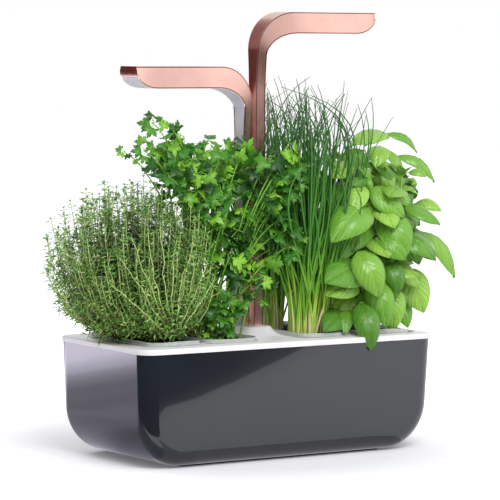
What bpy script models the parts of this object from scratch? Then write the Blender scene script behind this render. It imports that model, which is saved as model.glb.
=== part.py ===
"""Countertop hydroponic garden: a planter with a water tank, a tray with four herb cartridges
and two lamp arms that slide up and down in a well between the cartridges.

Metres, +Z up. X runs along the planter, -Y is its front, and the origin is on the worktop
under the middle of the planter.
"""

import math

import bmesh
import bpy
from mathutils import Matrix, Vector

# Clearances
SEAT_GAP = 0.0003
RUNNING_GAP = 0.0004
OVERRUN = 0.004

# Planter shell, a tub with large lower end corners
PLANTER_LENGTH = 0.400
PLANTER_DEPTH = 0.190
SHELL_TOP = 0.1295
SHELL_WALL = 0.0025
LOWER_END_RADIUS = 0.052
LOWER_FRONT_RADIUS = 0.018
UPRIGHT_CORNER_RADIUS = 0.018
END_LEAN_SHARE = 0.040
FRONT_LEAN_SHARE = 0.026
LOWER_CORNER_ANGLES = (0, 12, 24, 36, 48, 60, 75, 90)
SHELL_CORNER_STEPS = 5

# Foot strips
FOOT_HEIGHT = 0.002
FOOT_WIDTH = 0.010
FOOT_END_MARGIN = 0.010
FOOT_EDGE_MARGIN = 0.0017
FOOT_LENGTH = PLANTER_LENGTH - 2 * (LOWER_END_RADIUS + FOOT_END_MARGIN)

# Water tank inside the shell
TANK_DROP = 0.0255
TANK_TOP = SHELL_TOP - TANK_DROP
TANK_WALL = 0.0018

# Tray on the shell's rim
TRAY_RISE = 0.0065
TRAY_TOP = SHELL_TOP + TRAY_RISE
TRAY_PLATE = 0.0024
TRAY_OVERHANG = 0.0012
TRAY_EDGE_ROUND = 0.0016
TRAY_LIP_WALL = 0.0016
TRAY_LIP_DEPTH = 0.004

# Cartridge wells, two on each side of the mast
WELL_MAST_MARGIN = 0.030
WELL_END_MARGIN = 0.024
WELL_SIDE_MARGIN = 0.022
WELL_SPACING = 0.006
WELL_WIDTH = (PLANTER_LENGTH / 2 - WELL_MAST_MARGIN - WELL_END_MARGIN - WELL_SPACING) / 2
WELL_LENGTH = PLANTER_DEPTH - 2 * WELL_SIDE_MARGIN
INNER_WELL_X = WELL_MAST_MARGIN + WELL_WIDTH / 2
OUTER_WELL_X = INNER_WELL_X + WELL_WIDTH + WELL_SPACING
WELL_RADIUS = 0.016
WELL_WALL = 0.002
WELL_DEPTH = 0.052
WELL_FLOOR_TOP = TRAY_TOP - WELL_DEPTH
WELL_CORNER_STEPS = 4

# Cartridge: clear pot, soil block and wick
POT_GAP = 0.0005
POT_WALL = 0.0008
POT_RISE = 0.004
POT_TOP = TRAY_TOP + POT_RISE
POT_TAPER = 0.0015
POT_FLANGE_SPACING = 0.001
POT_FLANGE = (WELL_SPACING - POT_FLANGE_SPACING) / 2
POT_FLANGE_THICKNESS = 0.0012
SOIL_DROP = 0.003
SOIL_TOP = POT_TOP - SOIL_DROP
WICK_WIDTH = 0.030
WICK_THICKNESS = 0.003
WICK_FLOOR_GAP = 0.0015

# Mast socket moulded on the tray: half sizes at the base and at the top
SOCKET_HEIGHT = 0.0105
SOCKET_WELL_GAP = 0.004
SOCKET_BASE_HALF_X = WELL_MAST_MARGIN - SOCKET_WELL_GAP
SOCKET_BASE_HALF_Y = 0.043
SOCKET_TOP_HALF_X = 0.0175
SOCKET_TOP_HALF_Y = 0.0265
SOCKET_RADIUS = 0.009
SOCKET_FLARE_SHARES = ((0.0, 1.0), (0.2, 0.55), (0.5, 0.25), (0.9, 0.06), (1.0, 0.0))

# Lamp arms, each a bent trapezoid channel
LEFT_LAMP_RISE = 0.310
LAMP_STAGGER = 0.063
LEFT_COLUMN_BOTTOM = 0.038
LEFT_LAMP_TOP = TRAY_TOP + LEFT_LAMP_RISE
RIGHT_LAMP_TOP = LEFT_LAMP_TOP + LAMP_STAGGER
ARM_HEIGHT = LEFT_LAMP_TOP - LEFT_COLUMN_BOTTOM
ARM_REACH = 0.165
COLUMN_SPACING = 0.006
COLUMN_THICKNESS = 0.0116
COLUMN_OUTER_WIDTH = 0.015
COLUMN_INNER_WIDTH = 0.020
HEAD_THICKNESS = 0.025
HEAD_OUTER_WIDTH = 0.033
HEAD_INNER_WIDTH = 0.037
OUTER_BEND_RADIUS = 0.046
INNER_BEND_REACH = 0.040
INNER_BEND_RISE = 0.026
WIDEN_DROP = 0.090
WIDEN_LENGTH = 0.130
TIP_EDGE = 0.005
TIP_CURVE_LENGTH = 0.028
ARM_WALL = 0.0016
BEND_STEPS = 7
TIP_STEPS = 5

# White cover and frosted diffuser on the inner face of each arm
COVER_THICKNESS = 0.0016
WINDOW_MARGIN = 0.0062
WINDOW_START = COLUMN_SPACING / 2 + COLUMN_THICKNESS + INNER_BEND_REACH + WINDOW_MARGIN
WINDOW_END = ARM_REACH - TIP_CURVE_LENGTH - WINDOW_MARGIN
WINDOW_WIDTH = 0.026

# Light engine in each lamp head
HEAT_SINK_HEIGHT = 0.0101
HEAT_SINK_BASE = 0.003
HEAT_SINK_FINS = 6
HEAT_SINK_MARGIN = 0.0019
HEAT_SINK_WIDTH = HEAD_OUTER_WIDTH - 2 * (ARM_WALL + HEAT_SINK_MARGIN)
FIN_FILL_SHARE = 0.45
ENGINE_START = WINDOW_START
ENGINE_END = WINDOW_END
BOARD_THICKNESS = 0.0016
VENT_COUNT = 9
VENT_START = 0.070
VENT_TIP_MARGIN = 0.0135
VENT_LENGTH = 0.0055
VENT_WIDTH = 0.020
VENT_PITCH = (ARM_REACH - VENT_TIP_MARGIN - VENT_LENGTH - VENT_START) / (VENT_COUNT - 1)

# Flat lead inside each arm, coiled lead below it, and the plug that ends the column
HARNESS_WIDTH = 0.008
HARNESS_THICKNESS = 0.001
PLUG_HEIGHT = 0.004
PLUG_LIP = 0.002
LEAD_RADIUS = 0.0045

# Dry well that guides both columns through the tank
MAST_WELL_BOTTOM = 0.0125
MAST_WELL_WALL = 0.002
CHANNEL_SIDE_GAP = 0.0014
CHANNEL_HALF_WIDTH = COLUMN_INNER_WIDTH / 2 + CHANNEL_SIDE_GAP
PAD_THICKNESS = 0.002
PAD_DROP = 0.010
PAD_TOP = TRAY_TOP - PAD_DROP
PAD_HEIGHT = 0.012
PAD_WIDTH = 0.016
WELL_FLANGE_THICKNESS = 0.0025
WELL_FLANGE_GAP = 0.0035
WELL_FLANGE_RIM = 0.006
WELL_FLANGE_HALF_X = WELL_MAST_MARGIN - WELL_WALL - WELL_FLANGE_GAP
WELL_FLANGE_HALF_Y = CHANNEL_HALF_WIDTH + MAST_WELL_WALL + WELL_FLANGE_RIM
SCREW_Y = CHANNEL_HALF_WIDTH + MAST_WELL_WALL + WELL_FLANGE_RIM / 2
SCREW_RADIUS = 0.0014
SCREW_HEAD_RADIUS = 0.0026
SCREW_HEAD_HEIGHT = 0.0018
SCREW_LENGTH = 0.0095

# Control box behind the mast, with its board, button, light and power inlet
CONTROL_BOX_GAP = 0.0011
CONTROL_BOX_INSET = 0.009
CONTROL_BOX_FRONT = WELL_FLANGE_HALF_Y + CONTROL_BOX_GAP
CONTROL_BOX_BACK = PLANTER_DEPTH / 2 - CONTROL_BOX_INSET
CONTROL_BOX_HALF_X = 0.0215
CONTROL_BOX_DEPTH = 0.0248
CONTROL_BOX_WALL = 0.0018
CONTROL_BOX_RADIUS = 0.003
BOARD_MARGIN = 0.0016
DRIVER_LENGTH = 0.020
DRIVER_WIDTH = 0.012
DRIVER_HEIGHT = 0.010
DRIVER_X = -0.0105
BUTTON_INSET = 0.024
BUTTON_Y = CONTROL_BOX_BACK - BUTTON_INSET
BUTTON_RADIUS = 0.0057
BUTTON_PROUD = 0.0015
BUTTON_TRAVEL = 0.001
BUTTON_COLLAR = 0.0015
BUTTON_COLLAR_HEIGHT = 0.0012
BUTTON_STEM_RADIUS = 0.002
SWITCH_SIZE = 0.006
SWITCH_HEIGHT = 0.006
LIGHT_X = 0.0115
LIGHT_RADIUS = 0.0015
LIGHT_PROUD = 0.0003
INLET_WIDTH = 0.014
INLET_HEIGHT = 0.018
INLET_BOTTOM = SHELL_TOP - INLET_HEIGHT
INLET_BORE_RADIUS = 0.0033
INLET_BORE_DEPTH = 0.0065
INLET_SINK = 0.0003

# Water level float in the front right corner, and the fill slot behind it
FLOAT_END_INSET = 0.019
FLOAT_FRONT_INSET = 0.021
FLOAT_X = PLANTER_LENGTH / 2 - FLOAT_END_INSET
FLOAT_Y = FLOAT_FRONT_INSET - PLANTER_DEPTH / 2
FLOAT_RADIUS = 0.008
FLOAT_HEIGHT = 0.018
FLOAT_DROP = 0.056
FLOAT_TOP = TRAY_TOP - FLOAT_DROP
FLOAT_ROD_RADIUS = 0.0018
FLOAT_CAP_RADIUS = 0.0035
FLOAT_CAP_HEIGHT = 0.0012
FILL_SLOT_INSET = 0.014
FILL_SLOT_X = PLANTER_LENGTH / 2 - FILL_SLOT_INSET
FILL_SLOT_Y = 0.020
FILL_SLOT_WIDTH = 0.011
FILL_SLOT_LENGTH = 0.040

# Plants: room left under the lamp, reach to the left and right of the cartridge's middle, half depth
PLANT_CELL_X = (INNER_WELL_X + OUTER_WELL_X) / 2
PLANT_CELL_SLANT_SHARE = 0.5
CARTRIDGE_LIFT = 0.060
MAST_CLEARANCE = 0.003
PLANT_SIDES = 16
STEM_FOOT_HALF_X = 0.026
STEM_FOOT_HALF_Y = 0.052
LEFT_HEADROOM = LEFT_LAMP_TOP - HEAD_THICKNESS - SOIL_TOP
RIGHT_HEADROOM = RIGHT_LAMP_TOP - HEAD_THICKNESS - SOIL_TOP
THYME_LAMP_GAP = 0.101
THYME_LEFT = 0.129
THYME_RIGHT = 0.085
THYME_DEPTH = 0.098
PARSLEY_LAMP_GAP = 0.036
PARSLEY_LEFT = 0.062
PARSLEY_RIGHT = 0.100
PARSLEY_DEPTH = 0.080
CHIVES_LAMP_GAP = 0.046
CHIVES_LEFT = 0.038
CHIVES_RIGHT = 0.058
CHIVES_DEPTH = 0.064
BASIL_LAMP_GAP = 0.113
BASIL_LEFT = 0.040
BASIL_RIGHT = 0.129
BASIL_DEPTH = 0.098
# Each row holds shares of the height, of the reach to the left and right, and of the depth
THYME_TIER_SHARES = (
    (0.07, 0.48, 0.45, 0.70),
    (0.24, 0.76, 0.80, 0.86),
    (0.35, 0.86, 0.92, 0.93),
    (0.42, 0.91, 0.98, 0.97),
    (0.60, 1.00, 1.00, 1.00),
    (0.81, 0.87, 1.00, 0.92),
    (0.93, 0.57, 0.86, 0.74),
    (1.00, 0.28, 0.50, 0.46),
)
PARSLEY_TIER_SHARES = (
    (0.06, 0.45, 0.32, 0.70),
    (0.16, 0.50, 0.66, 0.75),
    (0.25, 0.56, 0.84, 0.84),
    (0.31, 0.66, 0.98, 0.92),
    (0.44, 0.72, 1.00, 1.00),
    (0.60, 0.80, 1.00, 1.00),
    (0.69, 0.85, 0.80, 0.90),
    (0.78, 0.92, 0.60, 0.76),
    (0.87, 1.00, 0.35, 0.64),
    (0.95, 0.98, -0.10, 0.46),
    (1.00, 0.95, -0.40, 0.22),
)
CHIVES_TIER_SHARES = (
    (0.12, 0.66, 0.60, 0.84),
    (0.43, 0.80, 0.84, 0.94),
    (0.58, 0.92, 0.90, 0.98),
    (0.74, 0.97, 1.00, 1.00),
    (0.86, 0.80, 0.94, 0.86),
    (0.95, 0.35, 0.66, 0.55),
    (1.00, -0.10, 0.50, 0.26),
)
BASIL_TIER_SHARES = (
    (0.05, 0.70, 0.55, 0.72),
    (0.14, 0.80, 0.86, 0.85),
    (0.25, 0.95, 0.92, 0.95),
    (0.32, 1.00, 1.00, 1.00),
    (0.43, 0.90, 0.98, 0.95),
    (0.55, 0.80, 0.84, 0.82),
    (0.75, 0.78, 0.83, 0.74),
    (0.86, 0.60, 0.66, 0.60),
    (0.94, 0.35, 0.50, 0.42),
    (1.00, 0.05, 0.30, 0.22),
)

ROUND_STEPS = 20
SMALL_ROUND_STEPS = 12

# Plain finishes: colour, roughness, metallic
FINISHES = {
    "dark_gloss": ((0.055, 0.060, 0.064), 0.12, 0.0),
    "tank_grey": ((0.30, 0.31, 0.32), 0.45, 0.0),
    "foot_rubber": ((0.015, 0.015, 0.015), 0.85, 0.0),
    "tray_white": ((0.86, 0.85, 0.86), 0.30, 0.0),
    "copper_alloy": ((0.72, 0.36, 0.28), 0.30, 0.9),
    "cover_white": ((0.74, 0.72, 0.76), 0.35, 0.0),
    "frosted": ((0.90, 0.90, 0.88), 0.50, 0.0),
    "board_green": ((0.05, 0.20, 0.10), 0.50, 0.0),
    "bare_aluminium": ((0.60, 0.60, 0.62), 0.40, 0.9),
    "black_plastic": ((0.02, 0.02, 0.022), 0.50, 0.0),
    "clear_pot": ((0.62, 0.66, 0.60), 0.15, 0.0),
    "soil": ((0.030, 0.022, 0.018), 0.95, 0.0),
    "felt": ((0.80, 0.79, 0.75), 0.90, 0.0),
    "steel": ((0.55, 0.55, 0.55), 0.35, 0.9),
    "float_foam": ((0.75, 0.20, 0.12), 0.60, 0.0),
    "thyme_green": ((0.16, 0.24, 0.09), 0.70, 0.0),
    "parsley_green": ((0.10, 0.30, 0.05), 0.60, 0.0),
    "chives_green": ((0.08, 0.24, 0.05), 0.55, 0.0),
    "basil_green": ((0.14, 0.36, 0.05), 0.45, 0.0),
}


def clear_scene():
    """Remove every object of the open scene."""
    for obj in list(bpy.data.objects):
        bpy.data.objects.remove(obj, do_unlink=True)


def material(name):
    """Plain Principled material for one finish."""
    found = bpy.data.materials.get(name)
    if found:
        return found
    colour, roughness, metallic = FINISHES[name]
    made = bpy.data.materials.new(name)
    made.use_nodes = True
    shader = made.node_tree.nodes["Principled BSDF"]
    shader.inputs["Base Color"].default_value = (*colour, 1.0)
    shader.inputs["Roughness"].default_value = roughness
    shader.inputs["Metallic"].default_value = metallic
    return made


def add_object(name, bm, finish=None, smooth_angle=None):
    """Turn a bmesh into a named object with its faces pointing out."""
    bmesh.ops.recalc_face_normals(bm, faces=bm.faces[:])
    mesh = bpy.data.meshes.new(name)
    bm.to_mesh(mesh)
    bm.free()
    if finish:
        mesh.materials.append(material(finish))
    if smooth_angle:
        mesh.shade_smooth()
        mesh.set_sharp_from_angle(angle=math.radians(smooth_angle))
    obj = bpy.data.objects.new(name, mesh)
    bpy.context.scene.collection.objects.link(obj)
    return obj


def gather(name, point, pieces):
    """Parent the pieces of one moving group to an empty on its line of travel."""
    empty = bpy.data.objects.new(name, None)
    empty.location = point
    bpy.context.scene.collection.objects.link(empty)
    for piece in pieces:
        obj = bpy.data.objects[piece]
        obj.parent = empty
        obj.matrix_parent_inverse = Matrix.Translation(-Vector(point))


def hide_cutter(obj):
    """Keep a cutter out of the finished part."""
    obj.hide_render = True
    obj.display_type = "WIRE"


def boolean(target, other, operation="DIFFERENCE"):
    """Cut or join another solid with an exact Boolean modifier."""
    hide_cutter(other)
    modifier = target.modifiers.new(other.name, "BOOLEAN")
    modifier.operation = operation
    modifier.solver = "EXACT"
    modifier.object = other


def rounded_loop(half_x, half_y, radius, z, steps, centre=(0.0, 0.0)):
    """Points of a rectangle with round corners, counter-clockwise."""
    radius = min(radius, half_x, half_y)
    points = []
    for quarter in range(4):
        turn = math.pi / 2 * quarter
        sign_x = 1 if quarter in (0, 3) else -1
        sign_y = 1 if quarter in (0, 1) else -1
        corner_x = centre[0] + sign_x * (half_x - radius)
        corner_y = centre[1] + sign_y * (half_y - radius)
        for step in range(steps + 1):
            angle = turn + math.pi / 2 * step / steps
            points.append(Vector((corner_x + radius * math.cos(angle),
                                  corner_y + radius * math.sin(angle), z)))
    return points


def round_loop(radius, z, steps, centre=(0.0, 0.0)):
    """Points of a circle, counter-clockwise."""
    points = []
    for step in range(steps):
        angle = 2 * math.pi * step / steps
        points.append(Vector((centre[0] + radius * math.cos(angle),
                              centre[1] + radius * math.sin(angle), z)))
    return points


def add_loft(bm, loops):
    """Skin a row of loops that have the same number of points, and close both ends."""
    rings = [[bm.verts.new(point) for point in loop] for loop in loops]
    for low, high in zip(rings, rings[1:]):
        for index in range(len(low)):
            after = (index + 1) % len(low)
            bm.faces.new((low[index], low[after], high[after], high[index]))
    bm.faces.new(list(reversed(rings[0])))
    bm.faces.new(rings[-1])


def loft(name, loops, finish=None, smooth_angle=None):
    """One solid skinned over a row of loops."""
    bm = bmesh.new()
    add_loft(bm, loops)
    return add_object(name, bm, finish, smooth_angle)


def lofts(name, rows):
    """Several separate solids in one object, used as a cutter or a joined piece."""
    bm = bmesh.new()
    for loops in rows:
        add_loft(bm, loops)
    return add_object(name, bm)


def box_loops(low, high):
    """Bottom and top loop of a box between two corners."""
    loops = []
    for z in (low[2], high[2]):
        loops.append([Vector((low[0], low[1], z)), Vector((high[0], low[1], z)),
                      Vector((high[0], high[1], z)), Vector((low[0], high[1], z))])
    return loops


def box(name, low, high, finish=None):
    """A box between two corners."""
    low_corner = [min(pair) for pair in zip(low, high)]
    high_corner = [max(pair) for pair in zip(low, high)]
    return loft(name, box_loops(low_corner, high_corner), finish)


def turned(name, profile, centre, finish=None, steps=ROUND_STEPS):
    """A round piece from (radius, height) pairs, bottom to top."""
    loops = [round_loop(radius, z, steps, centre) for radius, z in profile]
    return loft(name, loops, finish, smooth_angle=40)


def planter_half_x(z, offset):
    """Half length of the planter at a height, set in from its outer face."""
    return PLANTER_LENGTH / 2 - END_LEAN_SHARE * (SHELL_TOP - z) - offset


def planter_half_y(z, offset):
    """Half depth of the planter at a height, set in from its outer face."""
    return PLANTER_DEPTH / 2 - FRONT_LEAN_SHARE * (SHELL_TOP - z) - offset


def planter_loop(z, offset, inset_x=0.0, inset_y=0.0):
    """Outline of the planter at a height, set in by an offset and by its lower rounds."""
    half_x = planter_half_x(z, offset) - inset_x
    half_y = planter_half_y(z, offset) - inset_y
    return rounded_loop(half_x, half_y, UPRIGHT_CORNER_RADIUS - offset, z, SHELL_CORNER_STEPS)


def planter_loops(offset, top):
    """Loops from the flat bottom up to a height, offset inward from the outer shell."""
    floor = FOOT_HEIGHT + offset
    end_radius = LOWER_END_RADIUS - offset
    front_radius = LOWER_FRONT_RADIUS - offset
    loops = []
    for angle in LOWER_CORNER_ANGLES:
        rise = end_radius * (1 - math.cos(math.radians(angle)))
        inset_x = end_radius * (1 - math.sin(math.radians(angle)))
        below = max(front_radius - rise, 0.0)
        inset_y = front_radius - math.sqrt(front_radius ** 2 - below ** 2)
        loops.append(planter_loop(floor + rise, offset, inset_x, inset_y))
    loops.append(planter_loop(top, offset))
    return loops


def tank_floor(x):
    """Height of the tank's inner floor at a distance from the middle, where it curves up to the end."""
    offset = SHELL_WALL + SEAT_GAP + TANK_WALL
    radius = LOWER_END_RADIUS - offset
    past_flat = x - (planter_half_x(FOOT_HEIGHT + offset, offset) - radius)
    past_flat = min(max(past_flat, 0.0), radius)
    return FOOT_HEIGHT + offset + radius - math.sqrt(radius ** 2 - past_flat ** 2)


def make_tub(name, offset, wall, top, finish):
    """An open tub between two offset planter surfaces."""
    outside = planter_loops(offset, top)
    inside = planter_loops(offset + wall, top)
    return loft(name, outside + inside[::-1], finish, smooth_angle=35)


def make_planter():
    """Shell with the notch for the power inlet, the tank and the foot strips."""
    shell = make_tub("planter_shell", 0.0, SHELL_WALL, SHELL_TOP, "dark_gloss")
    half_notch = INLET_WIDTH / 2 + RUNNING_GAP
    inside_wall = planter_half_y(INLET_BOTTOM, SHELL_WALL + OVERRUN)
    notch = box("shell_notch",
                (-half_notch, inside_wall, INLET_BOTTOM - RUNNING_GAP),
                (half_notch, planter_half_y(SHELL_TOP, -OVERRUN), SHELL_TOP + OVERRUN))
    boolean(shell, notch)
    make_tub("water_tank", SHELL_WALL + SEAT_GAP, TANK_WALL, TANK_TOP, "tank_grey")
    flat_edge = planter_half_y(FOOT_HEIGHT, 0.0) - LOWER_FRONT_RADIUS
    for name, side in (("front_foot", -1), ("rear_foot", 1)):
        middle = side * (flat_edge - FOOT_EDGE_MARGIN - FOOT_WIDTH / 2)
        foot_loops = [rounded_loop(FOOT_LENGTH / 2, FOOT_WIDTH / 2, FOOT_WIDTH / 2, z,
                                   WELL_CORNER_STEPS, (0.0, middle))
                      for z in (0.0, FOOT_HEIGHT - SEAT_GAP)]
        loft(name, foot_loops, "foot_rubber", smooth_angle=40)


def well_loop(x, z, grow=0.0):
    """Outline of a cartridge well at a height, grown outward by a length."""
    return rounded_loop(WELL_WIDTH / 2 + grow, WELL_LENGTH / 2 + grow, WELL_RADIUS + grow, z,
                        WELL_CORNER_STEPS, (x, 0.0))


def well_positions():
    """Middle of each cartridge well along X, from left to right."""
    return (-OUTER_WELL_X, -INNER_WELL_X, INNER_WELL_X, OUTER_WELL_X)


def column_outline(side, z, grow=0.0):
    """Trapezoid section of an arm's column at a height, counter-clockwise."""
    outer_x = side * (COLUMN_SPACING / 2 - grow)
    inner_x = side * (COLUMN_SPACING / 2 + COLUMN_THICKNESS + grow)
    outer_half = COLUMN_OUTER_WIDTH / 2 + grow
    inner_half = COLUMN_INNER_WIDTH / 2 + grow
    points = [Vector((outer_x, -outer_half, z)), Vector((inner_x, -inner_half, z)),
              Vector((inner_x, inner_half, z)), Vector((outer_x, outer_half, z))]
    return points if side > 0 else points[::-1]


def socket_loops():
    """Flared boss of the mast socket, from inside the tray plate to its top."""
    loops = []
    spread_x = SOCKET_BASE_HALF_X - SOCKET_TOP_HALF_X
    spread_y = SOCKET_BASE_HALF_Y - SOCKET_TOP_HALF_Y
    loops.append(rounded_loop(SOCKET_BASE_HALF_X, SOCKET_BASE_HALF_Y, SOCKET_RADIUS,
                              TRAY_TOP - TRAY_PLATE / 2, WELL_CORNER_STEPS))
    for rise_share, spread_share in SOCKET_FLARE_SHARES:
        loops.append(rounded_loop(SOCKET_TOP_HALF_X + spread_share * spread_x,
                                  SOCKET_TOP_HALF_Y + spread_share * spread_y, SOCKET_RADIUS,
                                  TRAY_TOP + rise_share * SOCKET_HEIGHT, WELL_CORNER_STEPS))
    return loops


def tray_openings():
    """Every hole through the tray: wells, wick slots, columns, screws, button, light, float, fill slot."""
    plate_under = TRAY_TOP - TRAY_PLATE
    above = TRAY_TOP + OVERRUN
    below = plate_under - OVERRUN
    rows = []
    for x in well_positions():
        rows.append([well_loop(x, WELL_FLOOR_TOP), well_loop(x, above)])
    above_socket = TRAY_TOP + SOCKET_HEIGHT + OVERRUN
    for side in (-1, 1):
        rows.append([column_outline(side, z, SEAT_GAP) for z in (below, above_socket)])
    hole_radius = SCREW_RADIUS + SEAT_GAP
    screw_top = plate_under - WELL_FLANGE_THICKNESS + SCREW_LENGTH + SEAT_GAP
    for y in (-SCREW_Y, SCREW_Y):
        rows.append([round_loop(hole_radius, z, SMALL_ROUND_STEPS, (0.0, y)) for z in (below, screw_top)])
    rows.append([round_loop(BUTTON_RADIUS + SEAT_GAP, z, ROUND_STEPS, (0.0, BUTTON_Y))
                 for z in (below, above)])
    rows.append([round_loop(LIGHT_RADIUS + SEAT_GAP, z, SMALL_ROUND_STEPS, (LIGHT_X, BUTTON_Y))
                 for z in (below, above)])
    rows.append([round_loop(FLOAT_ROD_RADIUS + SEAT_GAP, z, SMALL_ROUND_STEPS, (FLOAT_X, FLOAT_Y))
                 for z in (below, above)])
    rows.append([rounded_loop(FILL_SLOT_WIDTH / 2, FILL_SLOT_LENGTH / 2, FILL_SLOT_WIDTH / 2, z,
                              WELL_CORNER_STEPS, (FILL_SLOT_X, FILL_SLOT_Y)) for z in (below, above)])
    return rows


def wick_slots():
    """Slots in the floors of the cartridge wells."""
    half_x = WICK_WIDTH / 2 + SEAT_GAP
    half_y = WICK_THICKNESS / 2 + SEAT_GAP
    low = WELL_FLOOR_TOP - WELL_WALL - OVERRUN
    return [box_loops((x - half_x, -half_y, low), (x + half_x, half_y, WELL_FLOOR_TOP + OVERRUN))
            for x in well_positions()]


def make_tray():
    """Tray plate with its skirt and lip, four wells and the mast socket."""
    plate_under = TRAY_TOP - TRAY_PLATE
    skirt_low = SHELL_TOP + SEAT_GAP
    lip_outside = SHELL_WALL + SEAT_GAP
    lip_inside = lip_outside + TRAY_LIP_WALL
    lip_low = SHELL_TOP - TRAY_LIP_DEPTH
    half_round = TRAY_EDGE_ROUND * (1 - math.sqrt(0.5))
    loops = [planter_loop(plate_under, lip_inside),
             planter_loop(lip_low, lip_inside),
             planter_loop(lip_low, lip_outside),
             planter_loop(skirt_low, lip_outside),
             planter_loop(skirt_low, -TRAY_OVERHANG),
             planter_loop(TRAY_TOP - TRAY_EDGE_ROUND, -TRAY_OVERHANG),
             planter_loop(TRAY_TOP - half_round, -TRAY_OVERHANG + half_round),
             planter_loop(TRAY_TOP, -TRAY_OVERHANG + TRAY_EDGE_ROUND)]
    tray = loft("tray", loops, "tray_white", smooth_angle=35)
    well_levels = (WELL_FLOOR_TOP - WELL_WALL, TRAY_TOP - TRAY_PLATE / 2)
    bodies = [[well_loop(x, z, WELL_WALL) for z in well_levels] for x in well_positions()]
    bodies.append(socket_loops())
    boolean(tray, lofts("tray_bodies", bodies), "UNION")
    boolean(tray, lofts("tray_holes", tray_openings()))
    boolean(tray, lofts("tray_wick_slots", wick_slots()))
    half_notch = INLET_WIDTH / 2 + SEAT_GAP + RUNNING_GAP
    lip_cut = box("tray_lip_cut",
                  (-half_notch, planter_half_y(lip_low, lip_inside + OVERRUN), lip_low - OVERRUN),
                  (half_notch, planter_half_y(skirt_low, SHELL_WALL), skirt_low))
    boolean(tray, lip_cut)


def make_cartridge(herb, x):
    """Clear pot with a flange, its soil block and the felt wick below it."""
    pot_bottom = WELL_FLOOR_TOP + SEAT_GAP
    flange_low = TRAY_TOP + SEAT_GAP
    flange_high = flange_low + POT_FLANGE_THICKNESS
    floor_top = pot_bottom + POT_WALL
    outside = [well_loop(x, pot_bottom, -POT_GAP - POT_TAPER),
               well_loop(x, flange_low, -POT_GAP),
               well_loop(x, flange_low, POT_FLANGE),
               well_loop(x, flange_high, POT_FLANGE),
               well_loop(x, flange_high, -POT_GAP),
               well_loop(x, POT_TOP, -POT_GAP)]
    inside = [well_loop(x, POT_TOP, -POT_GAP - POT_WALL),
              well_loop(x, floor_top, -POT_GAP - POT_WALL - POT_TAPER)]
    loft(f"{herb}_pot", outside + inside, "clear_pot", smooth_angle=35)
    shrink = POT_GAP + POT_WALL + SEAT_GAP
    soil_loops = [well_loop(x, floor_top + SEAT_GAP, -shrink - POT_TAPER),
                  well_loop(x, SOIL_TOP, -shrink)]
    loft(f"{herb}_soil", soil_loops, "soil", smooth_angle=35)
    wick_low = tank_floor(abs(x) + WICK_WIDTH / 2) + WICK_FLOOR_GAP
    box(f"{herb}_wick",
        (x - WICK_WIDTH / 2, -WICK_THICKNESS / 2, wick_low),
        (x + WICK_WIDTH / 2, WICK_THICKNESS / 2, pot_bottom - SEAT_GAP), "felt")


def cell_edge(side, y, z, keep):
    """Place along X of the slanted wall between two plants' cells; a raised pot must clear the low part."""
    middle = side * (PLANT_CELL_X + PLANT_CELL_SLANT_SHARE * y)
    edge = middle + keep * SEAT_GAP
    if z <= POT_TOP + CARTRIDGE_LIFT + SEAT_GAP:
        straight = side * PLANT_CELL_X + keep * SEAT_GAP
        edge = max(edge, straight) if keep > 0 else min(edge, straight)
    return edge


def plant_limits(herb, y, z):
    """Left and right limits of one plant's cell."""
    beside_mast = COLUMN_SPACING / 2 + COLUMN_THICKNESS + MAST_CLEARANCE
    if herb == "thyme":
        return -math.inf, cell_edge(-1, y, z, -1)
    if herb == "parsley":
        return cell_edge(-1, y, z, 1), beside_mast - SEAT_GAP
    if herb == "chives":
        return beside_mast + SEAT_GAP, cell_edge(1, y, z, -1)
    return cell_edge(1, y, z, 1), math.inf


def plant_loop(herb, z, left, right, half_y):
    """Oval outline of a plant at a height, kept inside its cell."""
    middle = (left + right) / 2
    half_x = (right - left) / 2
    points = []
    for side in range(PLANT_SIDES):
        angle = 2 * math.pi * (side + 0.5) / PLANT_SIDES
        y = half_y * math.sin(angle) / math.cos(math.pi / PLANT_SIDES)
        x = middle + half_x * math.cos(angle) / math.cos(math.pi / PLANT_SIDES)
        low, high = plant_limits(herb, y, z)
        points.append(Vector((min(max(x, low), high), y, z)))
    return points


def make_plant(herb, x, height, reach_left, reach_right, half_depth, tiers):
    """Plain closed form of one plant's foliage, standing on its soil."""
    loops = [plant_loop(herb, z, x - STEM_FOOT_HALF_X, x + STEM_FOOT_HALF_X, STEM_FOOT_HALF_Y)
             for z in (SOIL_TOP + SEAT_GAP, POT_TOP + SEAT_GAP)]
    for height_share, left_share, right_share, depth_share in tiers:
        loops.append(plant_loop(herb, SOIL_TOP + height_share * height, x - left_share * reach_left,
                                x + right_share * reach_right, depth_share * half_depth))
    return loft(f"{herb}_plant", loops, f"{herb}_green", smooth_angle=60)


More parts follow.
